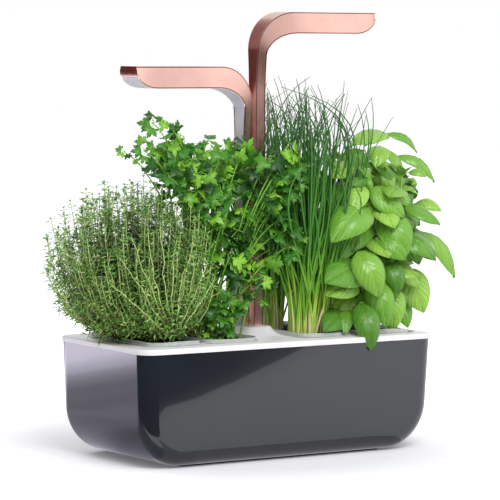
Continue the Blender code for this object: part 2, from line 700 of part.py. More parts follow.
def make_plants():
    """Foliage of the four herbs, each kept clear of the next one and of the mast."""
    make_plant("thyme", -OUTER_WELL_X, LEFT_HEADROOM - THYME_LAMP_GAP, THYME_LEFT, THYME_RIGHT,
               THYME_DEPTH, THYME_TIER_SHARES)
    parsley = make_plant("parsley", -INNER_WELL_X, LEFT_HEADROOM - PARSLEY_LAMP_GAP, PARSLEY_LEFT,
                         PARSLEY_RIGHT, PARSLEY_DEPTH, PARSLEY_TIER_SHARES)
    make_plant("chives", INNER_WELL_X, RIGHT_HEADROOM - CHIVES_LAMP_GAP, CHIVES_LEFT, CHIVES_RIGHT,
               CHIVES_DEPTH, CHIVES_TIER_SHARES)
    make_plant("basil", OUTER_WELL_X, RIGHT_HEADROOM - BASIL_LAMP_GAP, BASIL_LEFT, BASIL_RIGHT,
               BASIL_DEPTH, BASIL_TIER_SHARES)
    low = TRAY_TOP - TRAY_PLATE
    back = PARSLEY_DEPTH + OVERRUN
    mast_half_x = COLUMN_SPACING / 2 + COLUMN_THICKNESS + MAST_CLEARANCE
    mast_half_y = COLUMN_INNER_WIDTH / 2 + MAST_CLEARANCE
    socket_half_x = SOCKET_BASE_HALF_X + MAST_CLEARANCE
    socket_high = TRAY_TOP + SOCKET_HEIGHT + MAST_CLEARANCE
    boolean(parsley, box("parsley_mast_cut", (-mast_half_x, -mast_half_y, low),
                         (mast_half_x, back, LEFT_LAMP_TOP - HEAD_THICKNESS)))
    boolean(parsley, box("parsley_socket_cut", (-socket_half_x, -back, low),
                         (mast_half_x, back, socket_high)))


class Station:
    """One cross-section of an arm: its outer and inner point in the X-Z plane and its half widths."""

    def __init__(self, outer, inner):
        self.outer = Vector(outer)
        self.inner = Vector(inner)
        self.outer_half = COLUMN_OUTER_WIDTH / 2
        self.inner_half = COLUMN_INNER_WIDTH / 2

    def middle(self):
        return (self.outer + self.inner) / 2

    def depth(self):
        return (self.inner - self.outer).length


def tip_station(top, angle):
    """Section in the curved tip, at an angle along its lower curve."""
    turn = math.radians(angle)
    x = ARM_REACH - TIP_CURVE_LENGTH * (1 - math.sin(turn))
    drop = TIP_EDGE + (HEAD_THICKNESS - TIP_EDGE) * math.cos(turn)
    return Station((x, top), (x, top - drop))


def widen(stations):
    """Give the stations above the straight column half widths that grow towards the head."""
    travelled = 0.0
    for before, station in zip(stations[1:], stations[2:]):
        travelled += (station.middle() - before.middle()).length
        share = min(travelled / WIDEN_LENGTH, 1.0)
        smooth_share = share * share * (3 - 2 * share)
        outer_growth = HEAD_OUTER_WIDTH - COLUMN_OUTER_WIDTH
        inner_growth = HEAD_INNER_WIDTH - COLUMN_INNER_WIDTH
        station.outer_half = (COLUMN_OUTER_WIDTH + smooth_share * outer_growth) / 2
        station.inner_half = (COLUMN_INNER_WIDTH + smooth_share * inner_growth) / 2
    return stations


def arm_stations(top, angles):
    """Sections of an arm from the column's lower end round the bend to the tip, for the right side."""
    outer_x = COLUMN_SPACING / 2
    inner_x = outer_x + COLUMN_THICKNESS
    bottom = top - ARM_HEIGHT
    stations = [Station((outer_x, bottom), (inner_x, bottom)),
                Station((outer_x, top - WIDEN_DROP), (inner_x, top - WIDEN_DROP))]
    outer_low = top - OUTER_BEND_RADIUS
    inner_low = top - HEAD_THICKNESS - INNER_BEND_RISE
    middle = (top - WIDEN_DROP + outer_low) / 2
    stations.append(Station((outer_x, middle), (inner_x, middle)))
    for step in range(BEND_STEPS + 1):
        turn = math.pi / 2 * step / BEND_STEPS
        along = 1 - math.cos(turn)
        rise = math.sin(turn)
        outer = (outer_x + OUTER_BEND_RADIUS * along, outer_low + OUTER_BEND_RADIUS * rise)
        inner = (inner_x + INNER_BEND_REACH * along, inner_low + INNER_BEND_RISE * rise)
        stations.append(Station(outer, inner))
    past_bend = (inner_x + INNER_BEND_REACH + ARM_REACH / 2) / 2
    for x in (past_bend, ARM_REACH / 2):
        stations.append(Station((x, top), (x, top - HEAD_THICKNESS)))
    stations += [tip_station(top, angle) for angle in angles]
    return widen(stations)


def tip_angles(inset):
    """Angles of the sections along the tip's lower curve, up to a distance from its end."""
    last = math.degrees(math.asin(1 - inset / TIP_CURVE_LENGTH))
    return [last * step / TIP_STEPS for step in range(TIP_STEPS + 1)]


def section_loop(side, outer, inner, outer_half, inner_half):
    """Trapezoid loop between an outer and an inner point."""
    points = [Vector((side * outer.x, -outer_half, outer.y)),
              Vector((side * inner.x, -inner_half, inner.y)),
              Vector((side * inner.x, inner_half, inner.y)),
              Vector((side * outer.x, outer_half, outer.y))]
    return points if side > 0 else points[::-1]


def housing_loops(side, top):
    """Outer form of an arm."""
    return [section_loop(side, s.outer, s.inner, s.outer_half, s.inner_half)
            for s in arm_stations(top, tip_angles(0.0))]


def cavity_loops(side, top):
    """Channel inside an arm, open along its inner face and at its lower end."""
    loops = []
    for s in arm_stations(top, tip_angles(ARM_WALL)):
        inward = (s.inner - s.outer).normalized()
        spread = (s.inner_half - s.outer_half) / s.depth()
        loops.append(section_loop(side, s.outer + inward * ARM_WALL, s.inner + inward * OVERRUN,
                                  s.outer_half + spread * ARM_WALL - ARM_WALL,
                                  s.inner_half + spread * OVERRUN - ARM_WALL))
    below = [point - Vector((0.0, 0.0, OVERRUN)) for point in loops[0]]
    return [below] + loops


def cover_loops(side, top):
    """White cover that closes the channel, flush with its edges."""
    loops = []
    for s in arm_stations(top, tip_angles(ARM_WALL + SEAT_GAP)):
        outward = (s.outer - s.inner).normalized()
        half = s.inner_half - ARM_WALL - SEAT_GAP
        narrow = COVER_THICKNESS / s.depth() * (s.inner_half - s.outer_half)
        loops.append(section_loop(side, s.inner + outward * COVER_THICKNESS, s.inner, half - narrow, half))
    return loops


def led_board_top(top):
    """Upper face of the LED board, under the heat sink."""
    return top - ARM_WALL - SEAT_GAP - HEAT_SINK_HEIGHT - SEAT_GAP


def harness_loops(side, top):
    """Flat lead along the arm's outer wall, from the column's lower end down to the LED board's edge."""
    half = HARNESS_WIDTH / 2
    loops = []
    for s in arm_stations(top, []):
        if s.outer.x > ENGINE_START:
            break
        inward = (s.inner - s.outer).normalized()
        near = s.outer + inward * (ARM_WALL + SEAT_GAP)
        loops.append(section_loop(side, near, near + inward * HARNESS_THICKNESS, half, half))
    board_top = led_board_top(top)
    loops.append(section_loop(side, Vector((ENGINE_START - SEAT_GAP, board_top)),
                              Vector((ENGINE_START - SEAT_GAP, board_top - BOARD_THICKNESS)), half, half))
    return loops


def heat_sink_loops(side, top):
    """Finned heat sink under the housing's top wall."""
    high = top - ARM_WALL - SEAT_GAP
    base_low = high - HEAT_SINK_HEIGHT
    base_high = base_low + HEAT_SINK_BASE
    pitch = HEAT_SINK_WIDTH / HEAT_SINK_FINS
    fin = pitch * FIN_FILL_SHARE
    outline = [(-HEAT_SINK_WIDTH / 2, base_low), (HEAT_SINK_WIDTH / 2, base_low)]
    for index in range(HEAT_SINK_FINS - 1, -1, -1):
        start = -HEAT_SINK_WIDTH / 2 + index * (HEAT_SINK_WIDTH - fin) / (HEAT_SINK_FINS - 1)
        outline += [(start + fin, base_high), (start + fin, high), (start, high), (start, base_high)]
    # The two outermost fins stand on the base's edges, where the outline already has its corners
    outline = [point for index, point in enumerate(outline)
               if index not in (2, len(outline) - 1)]
    loops = []
    for x in (ENGINE_START, ENGINE_END):
        loops.append([Vector((side * x, y, z)) for y, z in outline])
    return loops


def make_arm(hand, side, top):
    """One lamp arm with its cover, light engine, lead and end plug."""
    housing = loft(f"{hand}_arm_housing", housing_loops(side, top), "copper_alloy", smooth_angle=30)
    boolean(housing, loft(f"{hand}_arm_cavity", cavity_loops(side, top)))
    vents = []
    for index in range(VENT_COUNT):
        start = side * (VENT_START + index * VENT_PITCH)
        end = start + side * VENT_LENGTH
        vents.append(box_loops((min(start, end), -VENT_WIDTH / 2, top - ARM_WALL - SEAT_GAP / 2),
                               (max(start, end), VENT_WIDTH / 2, top + OVERRUN)))
    boolean(housing, lofts(f"{hand}_arm_vents", vents))
    cover = loft(f"{hand}_arm_cover", cover_loops(side, top), "cover_white", smooth_angle=30)
    face = top - HEAD_THICKNESS
    window = box(f"{hand}_cover_window",
                 (side * WINDOW_START, -WINDOW_WIDTH / 2, face - OVERRUN),
                 (side * WINDOW_END, WINDOW_WIDTH / 2, face + OVERRUN))
    boolean(cover, window)
    box(f"{hand}_diffuser",
        (side * (WINDOW_START + SEAT_GAP), -WINDOW_WIDTH / 2 + SEAT_GAP, face),
        (side * (WINDOW_END - SEAT_GAP), WINDOW_WIDTH / 2 - SEAT_GAP, face + COVER_THICKNESS), "frosted")
    loft(f"{hand}_heat_sink", heat_sink_loops(side, top), "bare_aluminium")
    board_top = led_board_top(top)
    box(f"{hand}_led_board",
        (side * ENGINE_START, -HEAT_SINK_WIDTH / 2, board_top - BOARD_THICKNESS),
        (side * ENGINE_END, HEAT_SINK_WIDTH / 2, board_top), "board_green")
    loft(f"{hand}_harness", harness_loops(side, top), "black_plastic", smooth_angle=30)
    bottom = top - ARM_HEIGHT
    plug_inner = COLUMN_SPACING / 2 + COLUMN_THICKNESS + PLUG_LIP
    plug_half = CHANNEL_HALF_WIDTH - RUNNING_GAP
    box(f"{hand}_end_plug",
        (side * COLUMN_SPACING / 2, -plug_half, bottom - SEAT_GAP - PLUG_HEIGHT),
        (side * plug_inner, plug_half, bottom - SEAT_GAP), "black_plastic")
    lead_x = side * (COLUMN_SPACING / 2 + COLUMN_THICKNESS / 2)
    lead_low = MAST_WELL_BOTTOM + MAST_WELL_WALL + SEAT_GAP
    lead_high = bottom - SEAT_GAP - PLUG_HEIGHT - SEAT_GAP
    turned(f"{hand}_lead", ((LEAD_RADIUS, lead_low), (LEAD_RADIUS, lead_high)), (lead_x, 0.0),
           "black_plastic", SMALL_ROUND_STEPS)
    pieces = ("arm_housing", "arm_cover", "diffuser", "heat_sink", "led_board", "harness", "end_plug")
    gather(f"{hand}_arm", (lead_x, 0.0, bottom), [f"{hand}_{piece}" for piece in pieces])


def channel_inner_x():
    """Inner face of a mast well channel, behind the friction pad."""
    return COLUMN_SPACING / 2 + COLUMN_THICKNESS + SEAT_GAP + PAD_THICKNESS + SEAT_GAP


def make_mast_well():
    """Dry well with two channels, its friction pads and the two screws that hold it to the tray."""
    top = TRAY_TOP - TRAY_PLATE - SEAT_GAP
    half_x = channel_inner_x() + MAST_WELL_WALL
    half_y = CHANNEL_HALF_WIDTH + MAST_WELL_WALL
    well = box("mast_well", (-half_x, -half_y, MAST_WELL_BOTTOM), (half_x, half_y, top), "black_plastic")
    flange = box("mast_well_flange",
                 (-WELL_FLANGE_HALF_X, -WELL_FLANGE_HALF_Y, top - WELL_FLANGE_THICKNESS),
                 (WELL_FLANGE_HALF_X, WELL_FLANGE_HALF_Y, top))
    boolean(well, flange, "UNION")
    rows = []
    for side in (-1, 1):
        near = side * (COLUMN_SPACING / 2 - SEAT_GAP)
        far = side * channel_inner_x()
        rows.append(box_loops((min(near, far), -CHANNEL_HALF_WIDTH, MAST_WELL_BOTTOM + MAST_WELL_WALL),
                              (max(near, far), CHANNEL_HALF_WIDTH, top + OVERRUN)))
    for y in (-SCREW_Y, SCREW_Y):
        rows.append([round_loop(SCREW_RADIUS + SEAT_GAP, z, SMALL_ROUND_STEPS, (0.0, y))
                     for z in (top - WELL_FLANGE_THICKNESS - OVERRUN, top + OVERRUN)])
    boolean(well, lofts("mast_well_cuts", rows))
    head_top = top - WELL_FLANGE_THICKNESS - SEAT_GAP
    for name, y in (("well_screw_front", -SCREW_Y), ("well_screw_rear", SCREW_Y)):
        profile = ((SCREW_HEAD_RADIUS, head_top - SCREW_HEAD_HEIGHT), (SCREW_HEAD_RADIUS, head_top),
                   (SCREW_RADIUS, head_top), (SCREW_RADIUS, head_top + SCREW_LENGTH))
        turned(name, profile, (0.0, y), "steel", SMALL_ROUND_STEPS)
    for hand, side in (("left", -1), ("right", 1)):
        pad_inner = side * (channel_inner_x() - SEAT_GAP)
        pad_outer = side * (channel_inner_x() - SEAT_GAP - PAD_THICKNESS)
        box(f"{hand}_friction_pad", (pad_outer, -PAD_WIDTH / 2, PAD_TOP - PAD_HEIGHT),
            (pad_inner, PAD_WIDTH / 2, PAD_TOP), "foot_rubber")


def make_controls():
    """Control box under the tray with its board, driver, switch, button, light and power inlet."""
    under = TRAY_TOP - TRAY_PLATE - SEAT_GAP
    middle = (0.0, (CONTROL_BOX_FRONT + CONTROL_BOX_BACK) / 2)
    half_y = (CONTROL_BOX_BACK - CONTROL_BOX_FRONT) / 2
    floor = under - CONTROL_BOX_DEPTH
    floor_top = floor + CONTROL_BOX_WALL
    outside = [rounded_loop(CONTROL_BOX_HALF_X, half_y, CONTROL_BOX_RADIUS, z, WELL_CORNER_STEPS, middle)
               for z in (floor, under)]
    inside = [rounded_loop(CONTROL_BOX_HALF_X - CONTROL_BOX_WALL, half_y - CONTROL_BOX_WALL,
                           CONTROL_BOX_RADIUS - CONTROL_BOX_WALL, z, WELL_CORNER_STEPS, middle)
              for z in (under, floor_top)]
    loft("control_box", outside + inside, "black_plastic", smooth_angle=35)
    board_half_x = CONTROL_BOX_HALF_X - CONTROL_BOX_WALL - BOARD_MARGIN
    board_half_y = half_y - CONTROL_BOX_WALL - BOARD_MARGIN
    board_low = floor_top + SEAT_GAP
    board_high = board_low + BOARD_THICKNESS
    on_board = board_high + SEAT_GAP
    box("control_board", (-board_half_x, middle[1] - board_half_y, board_low),
        (board_half_x, middle[1] + board_half_y, board_high), "board_green")
    box("led_driver", (DRIVER_X - DRIVER_WIDTH / 2, middle[1] - DRIVER_LENGTH / 2, on_board),
        (DRIVER_X + DRIVER_WIDTH / 2, middle[1] + DRIVER_LENGTH / 2, on_board + DRIVER_HEIGHT),
        "black_plastic")
    switch_top = on_board + SWITCH_HEIGHT
    box("button_switch", (-SWITCH_SIZE / 2, BUTTON_Y - SWITCH_SIZE / 2, on_board),
        (SWITCH_SIZE / 2, BUTTON_Y + SWITCH_SIZE / 2, switch_top), "steel")
    stem_low = switch_top + BUTTON_TRAVEL + SEAT_GAP
    collar_low = under - BUTTON_COLLAR_HEIGHT
    cap_top = TRAY_TOP + BUTTON_PROUD
    profile = ((BUTTON_STEM_RADIUS, stem_low), (BUTTON_STEM_RADIUS, collar_low),
               (BUTTON_RADIUS + BUTTON_COLLAR, collar_low), (BUTTON_RADIUS + BUTTON_COLLAR, under),
               (BUTTON_RADIUS, under), (BUTTON_RADIUS, cap_top - BUTTON_PROUD / 2),
               (BUTTON_RADIUS - BUTTON_PROUD / 2, cap_top))
    turned("power_button", profile, (0.0, BUTTON_Y), "cover_white")
    gather("button", (0.0, BUTTON_Y, TRAY_TOP), ["power_button"])
    turned("status_light", ((LIGHT_RADIUS, on_board), (LIGHT_RADIUS, TRAY_TOP + LIGHT_PROUD)),
           (LIGHT_X, BUTTON_Y), "frosted", SMALL_ROUND_STEPS)
    back = planter_half_y(INLET_BOTTOM, INLET_SINK)
    inlet = box("power_inlet", (-INLET_WIDTH / 2, CONTROL_BOX_BACK + SEAT_GAP, INLET_BOTTOM),
                (INLET_WIDTH / 2, back, SHELL_TOP), "black_plastic")
    bore_z = (INLET_BOTTOM + SHELL_TOP) / 2
    bore = []
    for y in (back - INLET_BORE_DEPTH, back + OVERRUN):
        ring = round_loop(INLET_BORE_RADIUS, 0.0, ROUND_STEPS)
        bore.append([Vector((point.x, y, bore_z - point.y)) for point in ring])
    boolean(inlet, loft("inlet_bore", bore))


def make_level_gauge():
    """Float in the tank and the rod whose cap shows on the tray."""
    cap_low = TRAY_TOP + SEAT_GAP
    rod_profile = ((FLOAT_ROD_RADIUS, FLOAT_TOP + SEAT_GAP), (FLOAT_ROD_RADIUS, cap_low),
                   (FLOAT_CAP_RADIUS, cap_low), (FLOAT_CAP_RADIUS, cap_low + FLOAT_CAP_HEIGHT))
    float_profile = ((FLOAT_RADIUS, FLOAT_TOP - FLOAT_HEIGHT), (FLOAT_RADIUS, FLOAT_TOP))
    turned("level_rod", rod_profile, (FLOAT_X, FLOAT_Y), "steel", SMALL_ROUND_STEPS)
    turned("level_float", float_profile, (FLOAT_X, FLOAT_Y), "float_foam", SMALL_ROUND_STEPS)
    gather("float", (FLOAT_X, FLOAT_Y, TRAY_TOP), ["level_rod", "level_float"])


def make_cartridges():
    """The four cartridges from left to right."""
    make_plants()
    for herb, x in zip(("thyme", "parsley", "chives", "basil"), well_positions()):
        make_cartridge(herb, x)
        gather(f"{herb}_cartridge", (x, 0.0, POT_TOP), [f"{herb}_pot", f"{herb}_soil", f"{herb}_plant"])


def build():
    clear_scene()
    make_planter()
    make_tray()
    make_cartridges()
    make_mast_well()
    make_controls()
    make_level_gauge()
    make_arm("left", -1, LEFT_LAMP_TOP)
    make_arm("right", 1, RIGHT_LAMP_TOP)


build()
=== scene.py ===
"""Countertop hydroponic garden, dressed: a glossy tub, a white tray with four herb cartridges,
and two copper-coloured lamp arms.

Metres, +Z up. X runs along the tub, -Y is its front, and the origin is on the worktop.
"""

import math
import random

import bmesh
import bpy
import numpy as np
from bpy.props import FloatProperty, FloatVectorProperty, IntProperty, PointerProperty
from mathutils import Matrix, Vector, noise
from mathutils.geometry import interpolate_bezier


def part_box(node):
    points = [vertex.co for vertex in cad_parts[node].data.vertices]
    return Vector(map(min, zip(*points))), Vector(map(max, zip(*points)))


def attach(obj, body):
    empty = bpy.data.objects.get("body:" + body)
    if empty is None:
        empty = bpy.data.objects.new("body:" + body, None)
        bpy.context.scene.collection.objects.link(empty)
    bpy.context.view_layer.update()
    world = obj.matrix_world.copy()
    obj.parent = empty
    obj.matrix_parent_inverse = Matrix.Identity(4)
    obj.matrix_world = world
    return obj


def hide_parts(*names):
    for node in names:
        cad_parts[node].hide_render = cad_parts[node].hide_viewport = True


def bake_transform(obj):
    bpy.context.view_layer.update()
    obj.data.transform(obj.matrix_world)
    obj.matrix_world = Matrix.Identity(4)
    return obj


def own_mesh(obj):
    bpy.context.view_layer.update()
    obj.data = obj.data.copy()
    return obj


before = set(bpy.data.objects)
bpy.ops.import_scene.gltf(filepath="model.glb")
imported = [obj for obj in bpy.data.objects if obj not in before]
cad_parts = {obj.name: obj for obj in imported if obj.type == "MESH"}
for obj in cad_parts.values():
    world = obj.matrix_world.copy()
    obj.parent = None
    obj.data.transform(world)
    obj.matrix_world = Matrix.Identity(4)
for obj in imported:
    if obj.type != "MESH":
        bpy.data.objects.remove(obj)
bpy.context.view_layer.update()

bl_info = {
    "name": "Countertop hydroponic garden",
    "version": (1, 0, 0),
    "blender": (4, 5, 0),
    "location": "View3D > Sidebar > Herb garden",
    "description": "Builds the tub, the tray, the herbs and the lamp arms of a countertop garden",
    "category": "Add Mesh",
}

MM = 0.001

# Camera, fitted to the tub's edges in the photograph
CAMERA_AZIMUTH = math.radians(-33.93)
CAMERA_ELEVATION = math.radians(4.30)
CAMERA_ROLL = math.radians(0.55)
CAMERA_DISTANCE = 3.492
CAMERA_AIM_HEIGHT = 0.200
CAMERA_AIM_RIGHT = 0.00154
CAMERA_AIM_UP = 0.03343
FRAME_PIXELS = 500
FOCAL_PIXELS = 3012.5
SENSOR_WIDTH = 36.0

# Clearances and walls
SEAT_GAP = 0.3 * MM
ARM_WALL = 1.6 * MM

# Tub
SHELL_LOW = 2.0 * MM
SHELL_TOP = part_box("planter_shell")[1].z
SHELL_HALF_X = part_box("planter_shell")[1].x
SHELL_HALF_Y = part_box("planter_shell")[1].y
SHELL_WALL = 2.5 * MM
END_LEAN = 0.040
FRONT_LEAN = 0.026
LOWER_END_RADIUS = 52 * MM
EDGE_RADIUS = 18 * MM
TRAY_TOP = 136 * MM

# Lamp arms
COLUMN_OUTER_X = 3.0 * MM
COLUMN_THICKNESS = 11.6 * MM
COLUMN_WIDTHS = (15 * MM, 20 * MM)
HEAD_WIDTHS = (33 * MM, 37 * MM)
HEAD_THICKNESS = 25 * MM
ARM_REACH = 165 * MM
ARM_HEIGHT = 408 * MM
OUTER_BEND_RADIUS = 46 * MM
INNER_BEND = (40 * MM, 26 * MM)
WIDEN_DROP = 90 * MM
WIDEN_LENGTH = 130 * MM
TIP_EDGE = 5 * MM
TIP_CURVE = 28 * MM
VENT_COUNT = 9
VENT_START = 70 * MM
VENT_PITCH = 9.5 * MM
VENT_SIZE = (5.5 * MM, 20 * MM)
WINDOW = (60.8 * MM, 130.8 * MM, 26 * MM)

# Cartridges
WELL_X = {"thyme": -0.141, "parsley": -0.065, "chives": 0.065, "basil": 0.141}
WELL_HALF = (35 * MM, 73 * MM)
WELL_RADIUS = 16 * MM
SOIL_TOP = 137 * MM
POT_RIM = 140 * MM


def hex_colour(text):
    """Linear red, green and blue of an sRGB hex colour."""
    channels = [int(text[start:start + 2], 16) / 255 for start in (1, 3, 5)]
    return tuple(c / 12.92 if c <= 0.04045 else ((c + 0.055) / 1.055) ** 2.4 for c in channels)


def colour_property(name, text, description):
    """Colour of one finish, shown with a swatch."""
    return FloatVectorProperty(name=name, description=description, subtype="COLOR", size=3,
                               min=0.0, max=1.0, default=hex_colour(text))


class StageSettings(bpy.types.PropertyGroup):
    """Floor and studio lights."""

    floor_colour: colour_property("Floor", "#F4F3F6", "Colour of the pale floor")
    key_power: FloatProperty(name="Key light", description="Power of the large light above the front",
                             default=42.0, min=0.0, unit="POWER")
    fill_power: FloatProperty(name="Fill light", description="Power of the light on the right",
                              default=11.0, min=0.0, unit="POWER")
    back_power: FloatProperty(name="Back light", description="Power of the light behind the herbs",
                              default=16.0, min=0.0, unit="POWER")
    world_strength: FloatProperty(name="Room light", description="Strength of the even light all round",
                                  default=0.45, min=0.0)


class TubSettings(bpy.types.PropertyGroup):
    """Tub and tray."""

    shell_colour: colour_property("Tub", "#1D2228", "Colour of the glossy tub")
    tray_colour: colour_property("Tray", "#F1EEF1", "Colour of the white tray")
    tank_colour: colour_property("Tank", "#8F9193", "Colour of the water tank")
    edge_round: FloatProperty(name="Edge round", description="Radius of the tray's small edges",
                              default=0.4 * MM, min=0.0, unit="LENGTH", subtype="DISTANCE")


class LampSettings(bpy.types.PropertyGroup):
    """Lamp arms."""

    metal_colour: colour_property("Arm", "#D9AFA4", "Colour of the anodised arms")
    # Painted shade: the grooves are real, but their dark colour stands in for the shade inside them.
    seam_shade_colour: colour_property("Seam", "#3A1C18", "Colour in the thin grooves along the side plates")
    cover_colour: colour_property("Cover", "#DAD6E0", "Colour of the pale cover on the inner face")
    seam_width: FloatProperty(name="Seam", description="Width of the groove round each side plate",
                              default=0.9 * MM, min=0.0, unit="LENGTH", subtype="DISTANCE")


class HerbSettings(bpy.types.PropertyGroup):
    """Foliage, soil and pots."""

    seed: IntProperty(name="Seed", description="Start of the random growth", default=7, min=0)
    thyme_stems: IntProperty(name="Thyme stems", description="Number of thyme stems", default=380, min=1)
    parsley_leaves: IntProperty(name="Parsley leaves", description="Number of parsley leaves",
                                default=112, min=1)
    chives_blades: IntProperty(name="Chive blades", description="Number of chive blades",
                               default=270, min=1)
    basil_stems: IntProperty(name="Basil stems", description="Number of basil stems", default=9, min=1)
    soil_colour: colour_property("Soil", "#3A2E27", "Colour of the potting soil")
    pot_colour: colour_property("Pot", "#E9EDE8", "Tint of the clear pots")


# Node and material helpers


def add_node(tree, kind, settings=(), values=(), links=()):
    """Add one node with its settings, its fixed values and the sockets that feed it."""
    made = tree.nodes.new(kind)
    for name, value in dict(settings).items():
        setattr(made, name, value)
    for key, value in dict(values).items():
        made.inputs[key].default_value = value
    for key, source in dict(links).items():
        tree.links.new(source, made.inputs[key])
    return made


def new_material(name, colour, roughness, values=()):
    """A Principled material with its fixed values; gives the material, its tree and its shader."""
    made = bpy.data.materials.new(name)
    made.use_nodes = True
    shader = made.node_tree.nodes["Principled BSDF"]
    shader.inputs["Base Color"].default_value = (*colour, 1.0)
    shader.inputs["Roughness"].default_value = roughness
    for key, value in dict(values).items():
        shader.inputs[key].default_value = value
    return made, made.node_tree, shader


def per_mm(size):
    """Texture scale that gives features of a size in millimetres."""
    return 1 / (size * MM)


def noise_pattern(tree, size_mm, detail=3.0, stretch=(1.0, 1.0, 1.0), source="Object"):
    """Noise with features of a real size on the piece's own coordinates."""
    place = add_node(tree, "ShaderNodeTexCoord")
    turned = add_node(tree, "ShaderNodeMapping", values={"Scale": stretch},
                      links={"Vector": place.outputs[source]})
    return add_node(tree, "ShaderNodeTexNoise", values={"Scale": per_mm(size_mm), "Detail": detail},
                    links={"Vector": turned.outputs["Vector"]})


def ramp(tree, source, stops):
    """Colour ramp from (place, linear colour) pairs."""
    made = add_node(tree, "ShaderNodeValToRGB", links={"Fac": source})
    made.color_ramp.interpolation = "EASE"
    while len(made.color_ramp.elements) < len(stops):
        made.color_ramp.elements.new(0.5)
    for element, (place, colour) in zip(made.color_ramp.elements, stops):
        element.position = place
        element.color = (*colour, 1.0)
    return made


def spread(tree, source, low, high):
    """Map a 0 to 1 pattern onto a range."""
    return add_node(tree, "ShaderNodeMapRange", values={"To Min": low, "To Max": high},
                    links={"Value": source})


def add_bump(tree, shader, height, distance, strength=1.0):
    """Fine relief of the surface, given in metres."""
    bump = add_node(tree, "ShaderNodeBump", values={"Distance": distance, "Strength": strength},
                    links={"Height": height})
    tree.links.new(bump.outputs["Normal"], shader.inputs["Normal"])


def shade(colour, factor):
    """A darker or lighter tone of a linear colour."""
    return tuple(min(channel * factor, 1.0) for channel in colour)


# Finishes


def lacquered_abs(colour):
    """Moulded ABS under a clear lacquer: sharp reflections, with the faint waves of a large moulding."""
    made, tree, shader = new_material("lacquered_abs", colour, 0.12, {
        "IOR": 1.53, "Coat Weight": 1.0, "Coat Roughness": 0.03, "Coat IOR": 1.52})
    tone = noise_pattern(tree, 90, 2.0)
    colours = ramp(tree, tone.outputs["Fac"], ((0.3, shade(colour, 0.92)), (0.7, shade(colour, 1.08))))
    tree.links.new(colours.outputs["Color"], shader.inputs["Base Color"])
    haze = noise_pattern(tree, 12, 4.0)
    rough = spread(tree, haze.outputs["Fac"], 0.09, 0.16)
    tree.links.new(rough.outputs["Result"], shader.inputs["Roughness"])
    waves = noise_pattern(tree, 55, 1.0)
    add_bump(tree, shader, waves.outputs["Fac"], 0.06 * MM)
    return made


def moulded_plastic(name, colour, roughness, grain_mm=0.6, depth_mm=0.02, ior=1.5):
    """Injection-moulded plastic with a fine spark-eroded grain, drawn a little coarser than real."""
    made, tree, shader = new_material(name, colour, roughness, {"IOR": ior})
    tone = noise_pattern(tree, 40, 3.0)
    colours = ramp(tree, tone.outputs["Fac"], ((0.3, shade(colour, 0.95)), (0.7, shade(colour, 1.03))))
    tree.links.new(colours.outputs["Color"], shader.inputs["Base Color"])
    grain = noise_pattern(tree, grain_mm, 2.0)
    rough = spread(tree, grain.outputs["Fac"], roughness * 0.85, roughness * 1.2)
    tree.links.new(rough.outputs["Result"], shader.inputs["Roughness"])
    add_bump(tree, shader, grain.outputs["Fac"], depth_mm * MM)
    return made


def brushed_finish(name, colour, roughness, metallic, depth_mm=0.006):
    """Anodised or lacquered sheet, brushed along its length: streaks follow the arm, on its own UV map."""
    made, tree, shader = new_material(name, colour, roughness, {"Metallic": metallic})
    streaks = noise_pattern(tree, 1.2, 3.0, (1.0, 0.02, 1.0), "UV")
    rough = spread(tree, streaks.outputs["Fac"], roughness * 0.8, roughness * 1.25)
    tree.links.new(rough.outputs["Result"], shader.inputs["Roughness"])
    tone = noise_pattern(tree, 30, 2.0)
    colours = ramp(tree, tone.outputs["Fac"], ((0.3, shade(colour, 0.94)), (0.7, shade(colour, 1.04))))
    tree.links.new(colours.outputs["Color"], shader.inputs["Base Color"])
    add_bump(tree, shader, streaks.outputs["Fac"], depth_mm * MM)
    return made


def satin_metal(name, colour, roughness):
    """Bare or plated metal, rolled or extruded, with a soft uneven sheen."""
    made, tree, shader = new_material(name, colour, roughness, {"Metallic": 1.0})
    haze = noise_pattern(tree, 3, 4.0)
    rough = spread(tree, haze.outputs["Fac"], roughness * 0.8, roughness * 1.3)
    tree.links.new(rough.outputs["Result"], shader.inputs["Roughness"])
    add_bump(tree, shader, haze.outputs["Fac"], 0.01 * MM)
    return made


def clear_sheet(colour):
    """Thermoformed PET sheet: clear, faintly green, with shallow waves from the forming."""
    made, tree, shader = new_material("clear_pet", colour, 0.10, {"IOR": 1.575, "Transmission Weight": 0.45})
    waves = noise_pattern(tree, 9, 2.0)
    rough = spread(tree, waves.outputs["Fac"], 0.06, 0.18)
    tree.links.new(rough.outputs["Result"], shader.inputs["Roughness"])
    add_bump(tree, shader, waves.outputs["Fac"], 0.08 * MM)
    return made


def potting_soil(colour):
    """Damp peat with bark: dark crumbs of many tones, no gloss."""
    made, tree, shader = new_material("potting_soil", colour, 0.95, {"IOR": 1.4})
    crumbs = noise_pattern(tree, 2.2, 6.0)
    colours = ramp(tree, crumbs.outputs["Fac"], (
        (0.25, shade(colour, 0.35)), (0.55, colour), (0.78, hex_colour("#6E5A45"))))
    tree.links.new(colours.outputs["Color"], shader.inputs["Base Color"])
    add_bump(tree, shader, crumbs.outputs["Fac"], 1.0 * MM)
    return made


def wool_felt(colour):
    """Needled wool felt: matted fibres, soft and matt."""
    made, tree, shader = new_material("wool_felt", colour, 0.95, {"Sheen Weight": 0.3})
    fibres = noise_pattern(tree, 0.8, 5.0, (1.0, 1.0, 0.3))
    colours = ramp(tree, fibres.outputs["Fac"], ((0.3, shade(colour, 0.82)), (0.7, shade(colour, 1.05))))
    tree.links.new(colours.outputs["Color"], shader.inputs["Base Color"])
    add_bump(tree, shader, fibres.outputs["Fac"], 0.3 * MM)
    return made


